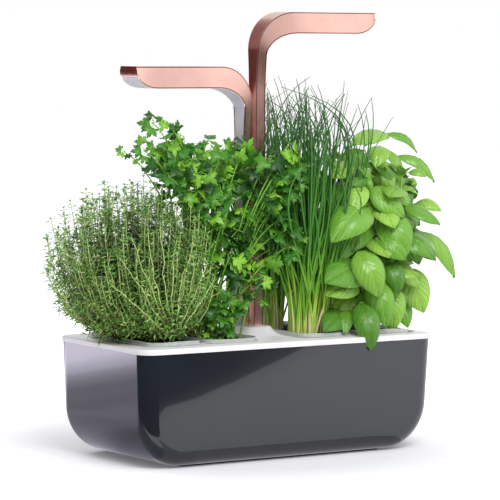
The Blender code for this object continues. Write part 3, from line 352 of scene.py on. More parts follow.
def circuit_board():
    """Glass-fibre board under green solder resist, with the faint relief of its tracks."""
    colour = hex_colour("#1F5A36")
    made, tree, shader = new_material("solder_resist_board", colour, 0.35, {"IOR": 1.5})
    tracks = add_node(tree, "ShaderNodeTexCoord")
    bricks = add_node(tree, "ShaderNodeTexBrick", values={
        "Scale": per_mm(6), "Color1": (*colour, 1.0), "Color2": (*shade(colour, 1.25), 1.0),
        "Mortar": (*shade(colour, 1.7), 1.0), "Mortar Size": 0.03}, links={"Vector": tracks.outputs["Object"]})
    tree.links.new(bricks.outputs["Color"], shader.inputs["Base Color"])
    add_bump(tree, shader, bricks.outputs["Fac"], 0.04 * MM)
    return made


def paint_inner_shade(tree, colour, centre, near, far):
    """Painted shade: leaves and twigs deep inside a bush are darkened towards its middle, standing in for the
    shade of the foliage round them.
    """
    place = add_node(tree, "ShaderNodeTexCoord")
    away = add_node(tree, "ShaderNodeVectorMath", {"operation": "DISTANCE"}, {1: centre},
                    {0: place.outputs["Object"]})
    level = add_node(tree, "ShaderNodeMapRange", values={
        "From Min": near, "From Max": far, "To Min": 0.30, "To Max": 1.0},
        links={"Value": away.outputs["Value"]})
    mixed = add_node(tree, "ShaderNodeMix", {"data_type": "RGBA", "blend_type": "MULTIPLY"}, {0: 1.0},
                     {6: colour, 7: level.outputs["Result"]})
    return mixed.outputs[2]


def leaf_skin(name, dark, mid, light, roughness, vein_depth_mm=0.0, gloss=0.0, bush=None):
    """Living leaf: each leaf has a tone of its own, and light passes a little way into it."""
    made, tree, shader = new_material(name, mid, roughness, {
        "IOR": 1.42, "Coat Weight": gloss, "Coat Roughness": 0.3,
        "Subsurface Weight": 0.18, "Subsurface Scale": 0.8 * MM, "Subsurface Radius": (0.5, 1.0, 0.15)})
    each = add_node(tree, "ShaderNodeNewGeometry")
    tones = ramp(tree, each.outputs["Random Per Island"], ((0.0, dark), (0.45, mid), (1.0, light)))
    patches = noise_pattern(tree, 9, 3.0)
    factor = spread(tree, patches.outputs["Fac"], 0.0, 0.45)
    mixed = add_node(tree, "ShaderNodeMix", {"data_type": "RGBA", "blend_type": "MULTIPLY"},
                     {7: (*[0.72] * 3, 1.0)}, {0: factor.outputs["Result"], 6: tones.outputs["Color"]})
    colour = mixed.outputs[2]
    if vein_depth_mm:
        uv = add_node(tree, "ShaderNodeTexCoord")
        split = add_node(tree, "ShaderNodeSeparateXYZ", links={"Vector": uv.outputs["UV"]})
        side = add_node(tree, "ShaderNodeMath", {"operation": "ABSOLUTE"}, links={0: split.outputs["X"]})
        rise = add_node(tree, "ShaderNodeMath", {"operation": "MULTIPLY_ADD"}, {1: -0.38},
                        {0: side.outputs["Value"], 2: split.outputs["Y"]})
        spaced = add_node(tree, "ShaderNodeMath", {"operation": "MULTIPLY"}, {1: 44.0},
                          {0: rise.outputs["Value"]})
        wave = add_node(tree, "ShaderNodeMath", {"operation": "COSINE"}, links={0: spaced.outputs["Value"]})
        sharp = add_node(tree, "ShaderNodeMapRange", values={"From Min": 0.80, "From Max": 1.0},
                         links={"Value": wave.outputs["Value"]})
        midrib = add_node(tree, "ShaderNodeMapRange", values={"From Min": 0.07, "From Max": 0.0},
                          links={"Value": side.outputs["Value"]})
        veins = add_node(tree, "ShaderNodeMath", {"operation": "MAXIMUM"},
                         links={0: sharp.outputs["Result"], 1: midrib.outputs["Result"]})
        share = spread(tree, veins.outputs["Value"], 0.0, 0.30)
        veined = add_node(tree, "ShaderNodeMix", {"data_type": "RGBA"}, {7: (*shade(light, 1.25), 1.0)},
                          {0: share.outputs["Result"], 6: colour})
        colour = veined.outputs[2]
        sunk = add_node(tree, "ShaderNodeMath", {"operation": "SUBTRACT"}, {0: 1.0},
                        {1: veins.outputs["Value"]})
        add_bump(tree, shader, sunk.outputs["Value"], vein_depth_mm * MM)
    else:
        add_bump(tree, shader, patches.outputs["Fac"], 0.2 * MM)
    # Painted shade: with a bush given, the leaves are darkened towards its middle.
    if bush:
        colour = paint_inner_shade(tree, colour, *bush)
    tree.links.new(colour, shader.inputs["Base Color"])
    return made


def stem_skin(name, stops, low, high, roughness=0.5, grain_mm=1.5, bush=None):
    """Stem or blade whose colour changes with height, from where it leaves the soil to its tip."""
    made, tree, shader = new_material(name, stops[1][1], roughness, {
        "IOR": 1.42, "Subsurface Weight": 0.12, "Subsurface Scale": 0.8 * MM,
        "Subsurface Radius": (0.5, 1.0, 0.15)})
    place = add_node(tree, "ShaderNodeTexCoord")
    split = add_node(tree, "ShaderNodeSeparateXYZ", links={"Vector": place.outputs["Object"]})
    each = add_node(tree, "ShaderNodeNewGeometry")
    shift = spread(tree, each.outputs["Random Per Island"], -0.10, 0.10)
    height = add_node(tree, "ShaderNodeMapRange", values={"From Min": low, "From Max": high},
                      links={"Value": split.outputs["Z"]})
    level = add_node(tree, "ShaderNodeMath", {"operation": "ADD"},
                     links={0: height.outputs["Result"], 1: shift.outputs["Result"]})
    tones = ramp(tree, level.outputs["Value"], stops)
    # Painted shade: with a bush given, the stems are darkened towards its middle.
    colour = paint_inner_shade(tree, tones.outputs["Color"], *bush) if bush else tones.outputs["Color"]
    tree.links.new(colour, shader.inputs["Base Color"])
    grain = noise_pattern(tree, grain_mm, 2.0, (1.0, 1.0, 0.1))
    rough = spread(tree, grain.outputs["Fac"], roughness * 0.85, roughness * 1.15)
    tree.links.new(rough.outputs["Result"], shader.inputs["Roughness"])
    add_bump(tree, shader, grain.outputs["Fac"], 0.1 * MM)
    return made


# Mesh helpers


def link_object(name, mesh):
    made = bpy.data.objects.new(name, mesh)
    bpy.context.scene.collection.objects.link(made)
    return made


def finish_piece(name, source, materials, body, nodes=(), smooth=35):
    """Turn a bmesh or a mesh into a finished piece that rides a body and stands for CAD nodes."""
    mesh = source
    if isinstance(source, bmesh.types.BMesh):
        mesh = bpy.data.meshes.new(name)
        source.to_mesh(mesh)
        source.free()
    mesh.name = name
    for made in materials if isinstance(materials, (list, tuple)) else [materials]:
        mesh.materials.append(made)
    mesh.shade_smooth()
    if smooth < 180:
        mesh.set_sharp_from_angle(angle=math.radians(smooth))
    piece = link_object(name, mesh)
    if body:
        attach(piece, body)
    if nodes:
        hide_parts(*nodes)
    return piece


def weigh_normals(piece):
    """Let the large flat faces keep their true direction in reflections."""
    made = piece.modifiers.new("flat faces", "WEIGHTED_NORMAL")
    made.keep_sharp = True
    made.weight = 50


def round_edges(piece, width, segments=2, angle=35):
    """Small rounds on the sharp edges."""
    made = piece.modifiers.new("edge rounds", "BEVEL")
    made.width = width
    made.segments = segments
    made.limit_method = "ANGLE"
    made.angle_limit = math.radians(angle)
    made.use_clamp_overlap = True
    made.harden_normals = True


def box_form(low, high):
    """A box between two corners."""
    bm = bmesh.new()
    bmesh.ops.create_cube(bm, size=1.0)
    size = Vector(high) - Vector(low)
    bmesh.ops.scale(bm, vec=size, verts=bm.verts)
    bmesh.ops.translate(bm, vec=(Vector(high) + Vector(low)) / 2, verts=bm.verts)
    return bm


def join_forms(forms):
    """Gather several bmeshes into one."""
    whole = bmesh.new()
    for form in forms:
        part = bpy.data.meshes.new("part")
        form.to_mesh(part)
        form.free()
        whole.from_mesh(part)
        bpy.data.meshes.remove(part)
    return whole


def cut_form(target, cutter, operation="DIFFERENCE"):
    """Mesh of a bmesh after an exact Boolean with another one."""
    objects = []
    for name, form in (("target", target), ("cutter", cutter)):
        mesh = bpy.data.meshes.new(name)
        form.to_mesh(mesh)
        form.free()
        objects.append(link_object(name, mesh))
    modifier = objects[0].modifiers.new("cut", "BOOLEAN")
    modifier.operation = operation
    modifier.solver = "EXACT"
    modifier.object = objects[1]
    graph = bpy.context.evaluated_depsgraph_get()
    result = bpy.data.meshes.new_from_object(objects[0].evaluated_get(graph))
    for made in objects:
        mesh = made.data
        bpy.data.objects.remove(made)
        bpy.data.meshes.remove(mesh)
    return result


def sweep(sections):
    """A closed form pulled through a row of sections, with UVs in metres around and along it."""
    bm = bmesh.new()
    uv = bm.loops.layers.uv.new("UVMap")
    face = bm.faces.new([bm.verts.new(point) for point in sections[0]])
    rings = [list(face.verts)]
    count = len(rings[0])
    for before, after in zip(sections, sections[1:]):
        made = bmesh.ops.extrude_face_region(bm, geom=[face], use_keep_orig=True)
        if len(rings) > 1:
            bmesh.ops.delete(bm, geom=[face], context="FACES")
        face = next(item for item in made["geom"] if isinstance(item, bmesh.types.BMFace))
        ring = [min(face.verts, key=lambda vert: (vert.co - point).length) for point in before]
        for vert, point in zip(ring, after):
            vert.co = point
        rings.append(ring)
    around = [0.0]
    for k in range(count):
        around.append(around[-1] + (rings[0][(k + 1) % count].co - rings[0][k].co).length)
    sides = []
    along = 0.0
    for low, high in zip(rings, rings[1:]):
        step = sum((b.co - a.co).length for a, b in zip(low, high)) / count
        row = []
        for k in range(count):
            quad = (low[k], low[(k + 1) % count], high[(k + 1) % count], high[k])
            side = bm.faces.get(quad)
            places = dict(zip(quad, ((around[k], along), (around[k + 1], along),
                                     (around[k + 1], along + step), (around[k], along + step))))
            for loop in side.loops:
                loop[uv].uv = places[loop.vert]
            row.append(side)
        along += step
        sides.append(row)
    bmesh.ops.recalc_face_normals(bm, faces=bm.faces)
    return bm, sides


def refined_copy(node):
    """A CAD piece's mesh with its corners welded and its flat faces whole."""
    bm = bmesh.new()
    bm.from_mesh(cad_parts[node].data)
    bmesh.ops.remove_doubles(bm, verts=bm.verts, dist=0.00001)
    bmesh.ops.dissolve_limit(bm, angle_limit=math.radians(0.5), verts=bm.verts, edges=bm.edges)
    return bm


def tubes(paths, resolution=1):
    """Round stems along rows of (point, radius), tapered and closed at both ends."""
    curve = bpy.data.curves.new("stems", "CURVE")
    curve.dimensions = "3D"
    curve.bevel_depth = 1.0
    curve.bevel_resolution = resolution
    curve.use_fill_caps = True
    for path in paths:
        spline = curve.splines.new("POLY")
        spline.points.add(len(path) - 1)
        spline.points.foreach_set("co", [value for point, _ in path for value in (*point, 1.0)])
        spline.points.foreach_set("radius", [radius for _, radius in path])
    holder = link_object("stems", curve)
    graph = bpy.context.evaluated_depsgraph_get()
    mesh = bpy.data.meshes.new_from_object(holder.evaluated_get(graph))
    bpy.data.objects.remove(holder)
    bpy.data.curves.remove(curve)
    return mesh


class Shape:
    """Points, triangles and UVs of one small leaf that is repeated. It lies along +Y with +Z as its face."""

    def __init__(self, bm, uv_name="UVMap"):
        layer = bm.loops.layers.uv.get(uv_name)
        bmesh.ops.triangulate(bm, faces=bm.faces)
        bmesh.ops.recalc_face_normals(bm, faces=bm.faces)
        bm.verts.index_update()
        self.points = np.array([v.co[:] for v in bm.verts])
        self.faces = np.array([[v.index for v in f.verts] for f in bm.faces])
        self.uvs = np.array([loop[layer].uv[:] if layer else (0.0, 0.0)
                             for f in bm.faces for loop in f.loops])
        bm.free()


class Foliage:
    """Copies of a few shapes, each with a place, a direction and a size, gathered into one mesh."""

    def __init__(self, shapes):
        self.shapes = shapes
        self.rows = [[] for _ in shapes]

    def add(self, kind, origin, along, face, length, width=1.0, deep=1.0):
        """One leaf from its foot, along a direction, its upper side turned towards another."""
        along = along.normalized()
        side = along.cross(face)
        if side.length < 1e-6:
            side = along.orthogonal()
        side.normalize()
        up = side.cross(along)
        self.rows[kind].append([[side.x * length * width, along.x * length, up.x * length * deep, origin.x],
                                [side.y * length * width, along.y * length, up.y * length * deep, origin.y],
                                [side.z * length * width, along.z * length, up.z * length * deep, origin.z]])

    def mesh(self, name):
        points, faces, uvs, start = [], [], [], 0
        for shape, rows in zip(self.shapes, self.rows):
            if not rows:
                continue
            places = np.array(rows)
            moved = np.einsum("pij,nj->pni", places[:, :, :3], shape.points) + places[:, None, :, 3]
            count = len(shape.points)
            shifted = shape.faces[None] + (start + count * np.arange(len(rows)))[:, None, None]
            points.append(moved.reshape(-1, 3))
            faces.append(shifted.reshape(-1, 3))
            uvs.append(np.tile(shape.uvs, (len(rows), 1)))
            start += count * len(rows)
        made = bpy.data.meshes.new(name)
        made.from_pydata(np.concatenate(points).tolist(), [], np.concatenate(faces).tolist())
        layer = made.uv_layers.new(name="UVMap")
        layer.uv.foreach_set("vector", np.concatenate(uvs).astype(np.float32).ravel())
        return made


# Camera


def camera_axes():
    """Right, up and back directions of the camera."""
    back = Vector((math.sin(CAMERA_AZIMUTH) * math.cos(CAMERA_ELEVATION),
                   -math.cos(CAMERA_AZIMUTH) * math.cos(CAMERA_ELEVATION), math.sin(CAMERA_ELEVATION)))
    level = Vector((math.cos(CAMERA_AZIMUTH), math.sin(CAMERA_AZIMUTH), 0.0))
    rise = back.cross(level)
    right = math.cos(CAMERA_ROLL) * level + math.sin(CAMERA_ROLL) * rise
    up = math.cos(CAMERA_ROLL) * rise - math.sin(CAMERA_ROLL) * level
    place = (Vector((0.0, 0.0, CAMERA_AIM_HEIGHT)) + CAMERA_AIM_RIGHT * level + CAMERA_AIM_UP * rise
             + CAMERA_DISTANCE * back)
    return right, up, back, place


def photo_point(across, down, depth):
    """Point at a depth along Y that shows at a place in the photograph, in pixels from its top left."""
    right, up, back, place = camera_axes()
    half = FRAME_PIXELS / 2
    ray = (across - half) / FOCAL_PIXELS * right - (down - half) / FOCAL_PIXELS * up - back
    return place + ray * ((depth - place.y) / ray.y)


def add_camera():
    right, up, back, place = camera_axes()
    data = bpy.data.cameras.new("camera")
    data.sensor_width = SENSOR_WIDTH
    data.lens = FOCAL_PIXELS * SENSOR_WIDTH / FRAME_PIXELS
    data.clip_end = 50.0
    camera = link_object("camera", data)
    turn = Matrix((right, up, back)).transposed().to_4x4()
    camera.matrix_world = Matrix.Translation(place) @ turn
    bpy.context.scene.camera = camera


# Stage


def area_light(name, place, aim, size, power, colour=(1.0, 1.0, 1.0), glossy=True):
    data = bpy.data.lights.new(name, "AREA")
    data.shape = "RECTANGLE"
    data.size, data.size_y = size
    data.energy = power
    data.color = colour
    lamp = link_object(name, data)
    lamp.location = place
    lamp.rotation_euler = (Vector(aim) - Vector(place)).to_track_quat("-Z", "Y").to_euler()
    lamp.visible_camera = False
    lamp.visible_glossy = glossy
    return lamp


def reflector(name, corners, colour, reach=0.0, stops=()):
    """A studio card that only shows in reflections; its strength may change along Y, from 0 to a reach."""
    bm = bmesh.new()
    bm.faces.new([bm.verts.new(corner) for corner in corners])
    mesh = bpy.data.meshes.new(name)
    bm.to_mesh(mesh)
    bm.free()
    card = link_object(name, mesh)
    made = bpy.data.materials.new(name)
    made.use_nodes = True
    tree = made.node_tree
    tree.nodes.clear()
    glow = add_node(tree, "ShaderNodeEmission", values={"Strength": 1.0, "Color": (*colour, 1.0)})
    if stops:
        place = add_node(tree, "ShaderNodeTexCoord")
        split = add_node(tree, "ShaderNodeSeparateXYZ", links={"Vector": place.outputs["Object"]})
        level = add_node(tree, "ShaderNodeMapRange", values={"From Max": reach},
                         links={"Value": split.outputs["Y"]})
        most = max(strength for _, strength in stops)
        tones = ramp(tree, level.outputs["Result"],
                     [(at, (strength / most,) * 3) for at, strength in stops])
        scaled = add_node(tree, "ShaderNodeMath", {"operation": "MULTIPLY"}, {1: most},
                          {0: tones.outputs["Color"]})
        tree.links.new(scaled.outputs["Value"], glow.inputs["Strength"])
    add_node(tree, "ShaderNodeOutputMaterial", links={"Surface": glow.outputs["Emission"]})
    mesh.materials.append(made)
    card.visible_camera = False
    card.visible_diffuse = False
    card.visible_transmission = False
    card.visible_shadow = False


class GARDEN_OT_stage(bpy.types.Operator):
    """Camera, pale floor, white surroundings and soft lights"""

    bl_idname = "garden.stage"
    bl_label = "Stage"

    def execute(self, context):
        settings = context.scene.garden_stage
        add_camera()
        context.scene.view_settings.view_transform = "Standard"
        world = context.scene.world or bpy.data.worlds.new("room")
        context.scene.world = world
        world.use_nodes = True
        tree = world.node_tree
        tree.nodes.clear()
        path = add_node(tree, "ShaderNodeLightPath")
        seen = add_node(tree, "ShaderNodeMath", {"operation": "MAXIMUM"}, links={
            0: path.outputs["Is Camera Ray"], 1: path.outputs["Is Glossy Ray"]})
        seen = add_node(tree, "ShaderNodeMath", {"operation": "MAXIMUM"}, links={
            0: seen.outputs["Value"], 1: path.outputs["Is Transmission Ray"]})
        level = spread(tree, seen.outputs["Value"], settings.world_strength, 1.0)
        tint = add_node(tree, "ShaderNodeMix", {"data_type": "RGBA"},
                        {6: (0.93, 0.95, 1.0, 1.0), 7: (1.0, 1.0, 1.0, 1.0)},
                        {0: seen.outputs["Value"]})
        back = add_node(tree, "ShaderNodeBackground", links={
            "Color": tint.outputs[2], "Strength": level.outputs["Result"]})
        add_node(tree, "ShaderNodeOutputWorld", links={"Surface": back.outputs["Background"]})
        self.add_floor(settings)
        area_light("key light", (-0.45, -1.8, 1.8), (0, 0, 0.2), (1.3, 1.3), settings.key_power)
        area_light("fill light", (1.9, -1.2, 1.1), (0, 0, 0.25), (2.4, 2.4), settings.fill_power)
        area_light("back light", (-0.4, 1.7, 1.3), (0, 0, 0.25), (1.6, 1.0), settings.back_power,
                   glossy=False)
        self.add_cards()
        return {"FINISHED"}

    def add_floor(self, settings):
        bm = bmesh.new()
        bmesh.ops.create_circle(bm, cap_ends=True, segments=64, radius=9.0)
        mesh = bpy.data.meshes.new("floor")
        bm.to_mesh(mesh)
        bm.free()
        floor = link_object("floor", mesh)
        made, tree, shader = new_material("matt_paper_floor", settings.floor_colour, 0.9)
        # Painted light and shade: for camera rays only, the floor glows, faintly near the tub and strongly from
        # 0.6 m out, so it is painted white far off and painted darker round the tub.
        path = add_node(tree, "ShaderNodeLightPath")
        place = add_node(tree, "ShaderNodeTexCoord")
        far = add_node(tree, "ShaderNodeVectorMath", {"operation": "LENGTH"},
                       links={0: place.outputs["Object"]})
        level = add_node(tree, "ShaderNodeMapRange", values={
            "From Min": 0.16, "From Max": 0.6, "To Min": 0.09, "To Max": 0.75},
            links={"Value": far.outputs["Value"]})
        glow = add_node(tree, "ShaderNodeMath", {"operation": "MULTIPLY"},
                        links={0: level.outputs["Result"], 1: path.outputs["Is Camera Ray"]})
        shader.inputs["Emission Color"].default_value = (1, 1, 1, 1)
        tree.links.new(glow.outputs["Value"], shader.inputs["Emission Strength"])
        shader.inputs["Specular IOR Level"].default_value = 0.1
        mesh.materials.append(made)

    def add_cards(self):
        above = 0.5 * MM
        black, violet, brown = (0.05, 0.05, 0.055), (0.98, 0.93, 1.12), (0.16, 0.085, 0.08)
        front = ((0.70, -4.5), (-2.6, -4.5), (-2.6, 1.6), (-0.90, 0.80), (-0.46, 0.16), (-0.38, -0.10),
                 (-0.24, -0.13), (-0.18, -0.17), (-0.10, -0.26), (0.05, -0.44), (0.12, -0.48), (0.17, -0.52),
                 (0.25, -0.58), (0.47, -0.76), (0.70, -0.96))
        reflector("front dark card", [(x, y, above) for x, y in front], black)
        side = ((-0.12, -0.12), (-0.12, 0.30), (-0.40, 0.95), (-1.00, 0.95), (-0.90, 0.80), (-0.46, 0.16),
                (-0.38, -0.10))
        # Its glow is weak near the tub, a painted reflection of the shade on the floor there, and grows further
        # back.
        reflector("left card", [(x, y, above) for x, y in side], violet, 0.8,
                  ((0.0, 0.25), (0.12, 0.50), (0.34, 0.68), (0.42, 0.55), (0.50, 0.62), (0.56, 0.58),
                   (0.62, 0.80), (0.68, 1.15), (0.74, 2.1), (0.88, 3.3)))
        # Painted shade: a grey card before the tub's foot, seen only in reflections, stands in for the shaded
        # floor under its front edge.
        reflector("foot card", ((-0.17, -0.17, above), (0.17, -0.17, above), (0.17, -0.05, above),
                                (-0.17, -0.05, above)), (0.44, 0.42, 0.44))
        reflector("front brown card", ((-0.9, -3.2, 0.0), (0.9, -3.0, 0.0), (0.9, -3.0, 0.40),
                                      (-0.9, -3.2, 0.40)), brown)
        reflector("right brown card", ((2.6, -2.1, 0.0), (2.9, -0.6, 0.0), (2.9, -0.6, 0.40),
                                      (2.6, -2.1, 0.40)), brown)
        reflector("rear red card", ((-3.2, 1.6, 0.0), (-0.3, 3.4, 0.0), (-0.3, 3.4, 0.75),
                                    (-3.2, 1.6, 0.75)), (0.12, 0.025, 0.02))
        reflector("rear floor card", [(x, y, above) for x, y in (
            (-0.15, 1.0), (-0.15, 3.2), (-3.1, 1.6), (-1.9, 1.0))], (0.12, 0.03, 0.025))
        reflector("rear brown card", ((-3.2, 1.6, 0.75), (0.9, 3.6, 0.75), (0.9, 3.6, 2.9),
                                      (-3.2, 1.6, 2.9)), (0.34, 0.20, 0.20))


# Tub


def half_at(height):
    """Half length and half depth of the tub's outside at a height."""
    drop = SHELL_TOP - height
    return SHELL_HALF_X - END_LEAN * drop, SHELL_HALF_Y - FRONT_LEAN * drop


def tub_block():
    """The tub's outside as a closed block with its large end corners and its edge rounds."""
    bm = bmesh.new()
    bmesh.ops.create_cube(bm, size=2.0)
    for vert in bm.verts:
        height = SHELL_TOP if vert.co.z > 0 else SHELL_LOW
        half_x, half_y = half_at(height)
        vert.co = Vector((math.copysign(half_x, vert.co.x), math.copysign(half_y, vert.co.y), height))
    low_ends = [edge for edge in bm.edges
                if all(abs(v.co.z - SHELL_LOW) < 1e-6 for v in edge.verts)
                and edge.verts[0].co.x * edge.verts[1].co.x > 0]
    bmesh.ops.bevel(bm, geom=low_ends, offset=LOWER_END_RADIUS, offset_type="OFFSET", segments=22,
                    profile=0.5, affect="EDGES", material=-1, clamp_overlap=True)
    chain = []
    for edge in bm.edges:
        fronts = [face for face in edge.link_faces if abs(face.normal.y) > 0.9]
        at_top = all(abs(v.co.z - SHELL_TOP) < 1e-6 for v in edge.verts)
        if len(fronts) == 1 and not at_top:
            chain.append(edge)
    bmesh.ops.bevel(bm, geom=chain, offset=EDGE_RADIUS, offset_type="OFFSET", segments=14,
                    profile=0.5, affect="EDGES", material=-1, clamp_overlap=True)
    return bm


class GARDEN_OT_tub(bpy.types.Operator):
    """Glossy tub with its thin wall and the notch for the power inlet"""

    bl_idname = "garden.tub"
    bl_label = "Tub"

    def execute(self, context):
        settings = context.scene.garden_tub
        bm = tub_block()
        tops = [face for face in bm.faces if face.normal.z > 0.99 and face.calc_center_median().z > 0.12]
        bmesh.ops.delete(bm, geom=tops, context="FACES")
        outside = max(v.co.x for v in bm.verts)
        bmesh.ops.solidify(bm, geom=bm.faces[:], thickness=SHELL_WALL)
        if max(v.co.x for v in bm.verts) > outside + 1e-5:
            raise RuntimeError("the tub's wall grew outward")
        low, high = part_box("power_inlet")
        gap = 0.4 * MM
        notch = box_form((low.x - gap, SHELL_HALF_Y - 12 * MM, low.z - gap),
                         (high.x + gap, SHELL_HALF_Y + 5 * MM, SHELL_TOP + 5 * MM))
        mesh = cut_form(bm, notch)
        piece = finish_piece("tub_shell", mesh, lacquered_abs(settings.shell_colour), "planter",
                             ["planter_shell"])
        weigh_normals(piece)
        return {"FINISHED"}


class GARDEN_OT_tray(bpy.types.Operator):
    """White tray with its wells, the mast socket and softly rounded edges"""

    bl_idname = "garden.tray"
    bl_label = "Tray"

    def execute(self, context):
        settings = context.scene.garden_tub
        finish = moulded_plastic("moulded_white_abs", settings.tray_colour, 0.30, 0.8, 0.01)
        piece = finish_piece("tray_moulding", refined_copy("tray"), finish, "tray", ["tray"])
        round_edges(piece, settings.edge_round)
        return {"FINISHED"}


# Pots and soil


def rounded_block(half, radius, low, high, centre, steps=6):
    """A block with rounded upright corners."""
    bm = bmesh.new()
    bmesh.ops.create_cube(bm, size=2.0)
    bmesh.ops.scale(bm, vec=(half[0], half[1], (high - low) / 2), verts=bm.verts)
    bmesh.ops.translate(bm, vec=(*centre, (high + low) / 2), verts=bm.verts)
    upright = [edge for edge in bm.edges if abs(edge.verts[0].co.z - edge.verts[1].co.z) > 1e-6]
    bmesh.ops.bevel(bm, geom=upright, offset=radius, offset_type="OFFSET", segments=steps, profile=0.5,
                    affect="EDGES", material=-1, clamp_overlap=True)
    return bm


class GARDEN_OT_cartridges(bpy.types.Operator):
    """Clear pots with a wavy rim, and the crumbly soil in them"""

    bl_idname = "garden.cartridges"
    bl_label = "Cartridges"

    def execute(self, context):
        settings = context.scene.garden_herbs
        clear = clear_sheet(settings.pot_colour)
        soil = potting_soil(settings.soil_colour)
        for index, (herb, x) in enumerate(WELL_X.items()):
            chance = random.Random(settings.seed * 31 + index)
            self.add_pot(herb, x, clear, chance)
            self.add_soil(herb, x, soil, chance)
        return {"FINISHED"}

    def add_pot(self, herb, x, finish, chance):
        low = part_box(f"{herb}_pot")[0]
        gap = 0.5 * MM
        bm = rounded_block((WELL_HALF[0] - gap, WELL_HALF[1] - gap), WELL_RADIUS - gap, low.z, POT_RIM,
                           (x, 0.0), 7)
        tops = [face for face in bm.faces if face.normal.z > 0.99]
        rim = bmesh.ops.inset_region(bm, faces=tops, thickness=0.8 * MM, use_even_offset=True)
        inner = [face for face in bm.faces if face.normal.z > 0.99 and face not in rim["faces"]]
        made = bmesh.ops.extrude_face_region(bm, geom=inner)
        floor = [item for item in made["geom"] if isinstance(item, bmesh.types.BMVert)]
        bmesh.ops.translate(bm, vec=(0, 0, low.z + 0.8 * MM - POT_RIM), verts=floor)
        bmesh.ops.delete(bm, geom=[face for face in inner if face.is_valid], context="FACES")
        for height in (TRAY_TOP + 0.3 * MM, TRAY_TOP + 1.3 * MM):
            bmesh.ops.bisect_plane(bm, geom=bm.verts[:] + bm.edges[:] + bm.faces[:], dist=1e-6,
                                   plane_co=(0, 0, height), plane_no=(0, 0, 1))
        band = [face for face in bm.faces if self.is_flange(face, x)]
        flange = bmesh.ops.extrude_face_region(bm, geom=band)
        moved = [item for item in flange["geom"] if isinstance(item, bmesh.types.BMVert)]
        bmesh.ops.delete(bm, geom=[face for face in band if face.is_valid], context="FACES")
        corner_x, corner_y = WELL_HALF[0] - WELL_RADIUS, WELL_HALF[1] - WELL_RADIUS
        for vert in moved:
            core = Vector((x + min(max(vert.co.x - x, -corner_x), corner_x),
                           min(max(vert.co.y, -corner_y), corner_y), 0.0))
            out = Vector((vert.co.x - core.x, vert.co.y - core.y, 0.0)).normalized()
            vert.co += out * 3.0 * MM
        bmesh.ops.subdivide_edges(bm, edges=[edge for edge in bm.edges if edge.calc_length() > 30 * MM
                                             and edge.verts[0].co.z > TRAY_TOP], cuts=11)
        shift = Vector((chance.uniform(0, 50), chance.uniform(0, 50), 0.0))
        for vert in bm.verts:
            if vert.co.z > TRAY_TOP + 0.2 * MM:
                wave = noise.noise(vert.co * 22 + shift)
                lift = max(0.0, min(1.0, (vert.co.z - TRAY_TOP) / (4 * MM)))
                vert.co.z += (0.9 * wave + 0.3) * MM * (0.4 + lift)
        piece = finish_piece(f"{herb}_clear_pot", bm, finish, f"{herb}_cartridge",
                             [f"{herb}_pot"], 40)
        return piece

    def is_flange(self, face, x):
        centre = face.calc_center_median()
        level = TRAY_TOP + 0.8 * MM
        if abs(centre.z - level) > 0.3 * MM:
            return False
        outward = Vector((centre.x - x, centre.y, 0.0))
        return face.normal.dot(outward) > 0

    def add_soil(self, herb, x, finish, chance):
        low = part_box(f"{herb}_soil")[0]
        inset = 1.9 * MM
        bm = rounded_block((WELL_HALF[0] - inset, WELL_HALF[1] - inset), WELL_RADIUS - inset,
                           low.z, SOIL_TOP, (x, 0.0), 5)
        for step in range(1, 24):
            place = -WELL_HALF[1] + step * WELL_HALF[1] / 12
            bmesh.ops.bisect_plane(bm, geom=bm.verts[:] + bm.edges[:] + bm.faces[:], dist=1e-6,
                                   plane_co=(0, place, 0), plane_no=(0, 1, 0))
        for step in range(1, 12):
            place = x - WELL_HALF[0] + step * WELL_HALF[0] / 6
            bmesh.ops.bisect_plane(bm, geom=bm.verts[:] + bm.edges[:] + bm.faces[:], dist=1e-6,
                                   plane_co=(place, 0, 0), plane_no=(1, 0, 0))
        for vert in bm.verts:
            if vert.co.z > SOIL_TOP - MM:
                vert.co.z += 1.6 * MM * noise.noise(vert.co * 130) - 0.4 * MM
        crumb = bmesh.new()
        bmesh.ops.create_icosphere(crumb, subdivisions=1, radius=0.5)
        crumbs = Foliage([Shape(crumb)])
        for _ in range(420):
            px = x + chance.uniform(-0.9, 0.9) * (WELL_HALF[0] - 3 * MM)
            py = chance.uniform(-0.92, 0.92) * (WELL_HALF[1] - 3 * MM)
            if abs(px - x) > WELL_HALF[0] - 10 * MM and abs(py) > WELL_HALF[1] - 10 * MM:
                continue
            way = Vector((chance.uniform(-1, 1), chance.uniform(-1, 1), chance.uniform(-0.3, 0.3)))
            crumbs.add(0, Vector((px, py, SOIL_TOP + chance.uniform(-0.6, 0.4) * MM)), way,
                       Vector((0, 0, 1)), chance.uniform(1.6, 4.2) * MM, chance.uniform(0.5, 0.9), 0.6)
        scatter = bmesh.new()
        scatter.from_mesh(crumbs.mesh("crumbs"))
        whole = join_forms([bm, scatter])
        finish_piece(f"{herb}_soil_block", whole, finish, f"{herb}_cartridge", [f"{herb}_soil"], 180)


# Herbs


def bend_path(points, count, radii, wobble=0.0, chance=None):
    """A smooth stem from four guide points with a radius at each step."""
    line = interpolate_bezier(*points, count)
    path = []
    for index, point in enumerate(line):
        share = index / (count - 1)
        if wobble and chance and 0 < index:
            point = point + Vector((chance.uniform(-1, 1), chance.uniform(-1, 1), 0.0)) * wobble
        path.append((point, radii[0] + (radii[1] - radii[0]) * share))
    return path


def thyme_leaf():
    """Narrow closed leaf, pointed at both ends."""
    bm = bmesh.new()
    bmesh.ops.create_uvsphere(bm, u_segments=4, v_segments=2, radius=0.5)
    bmesh.ops.rotate(bm, matrix=Matrix.Rotation(math.pi / 2, 3, "X"), verts=bm.verts)
    bmesh.ops.scale(bm, vec=(0.28, 1.0, 0.11), verts=bm.verts)
    bmesh.ops.translate(bm, vec=(0.0, 0.5, 0.0), verts=bm.verts)
    return Shape(bm)


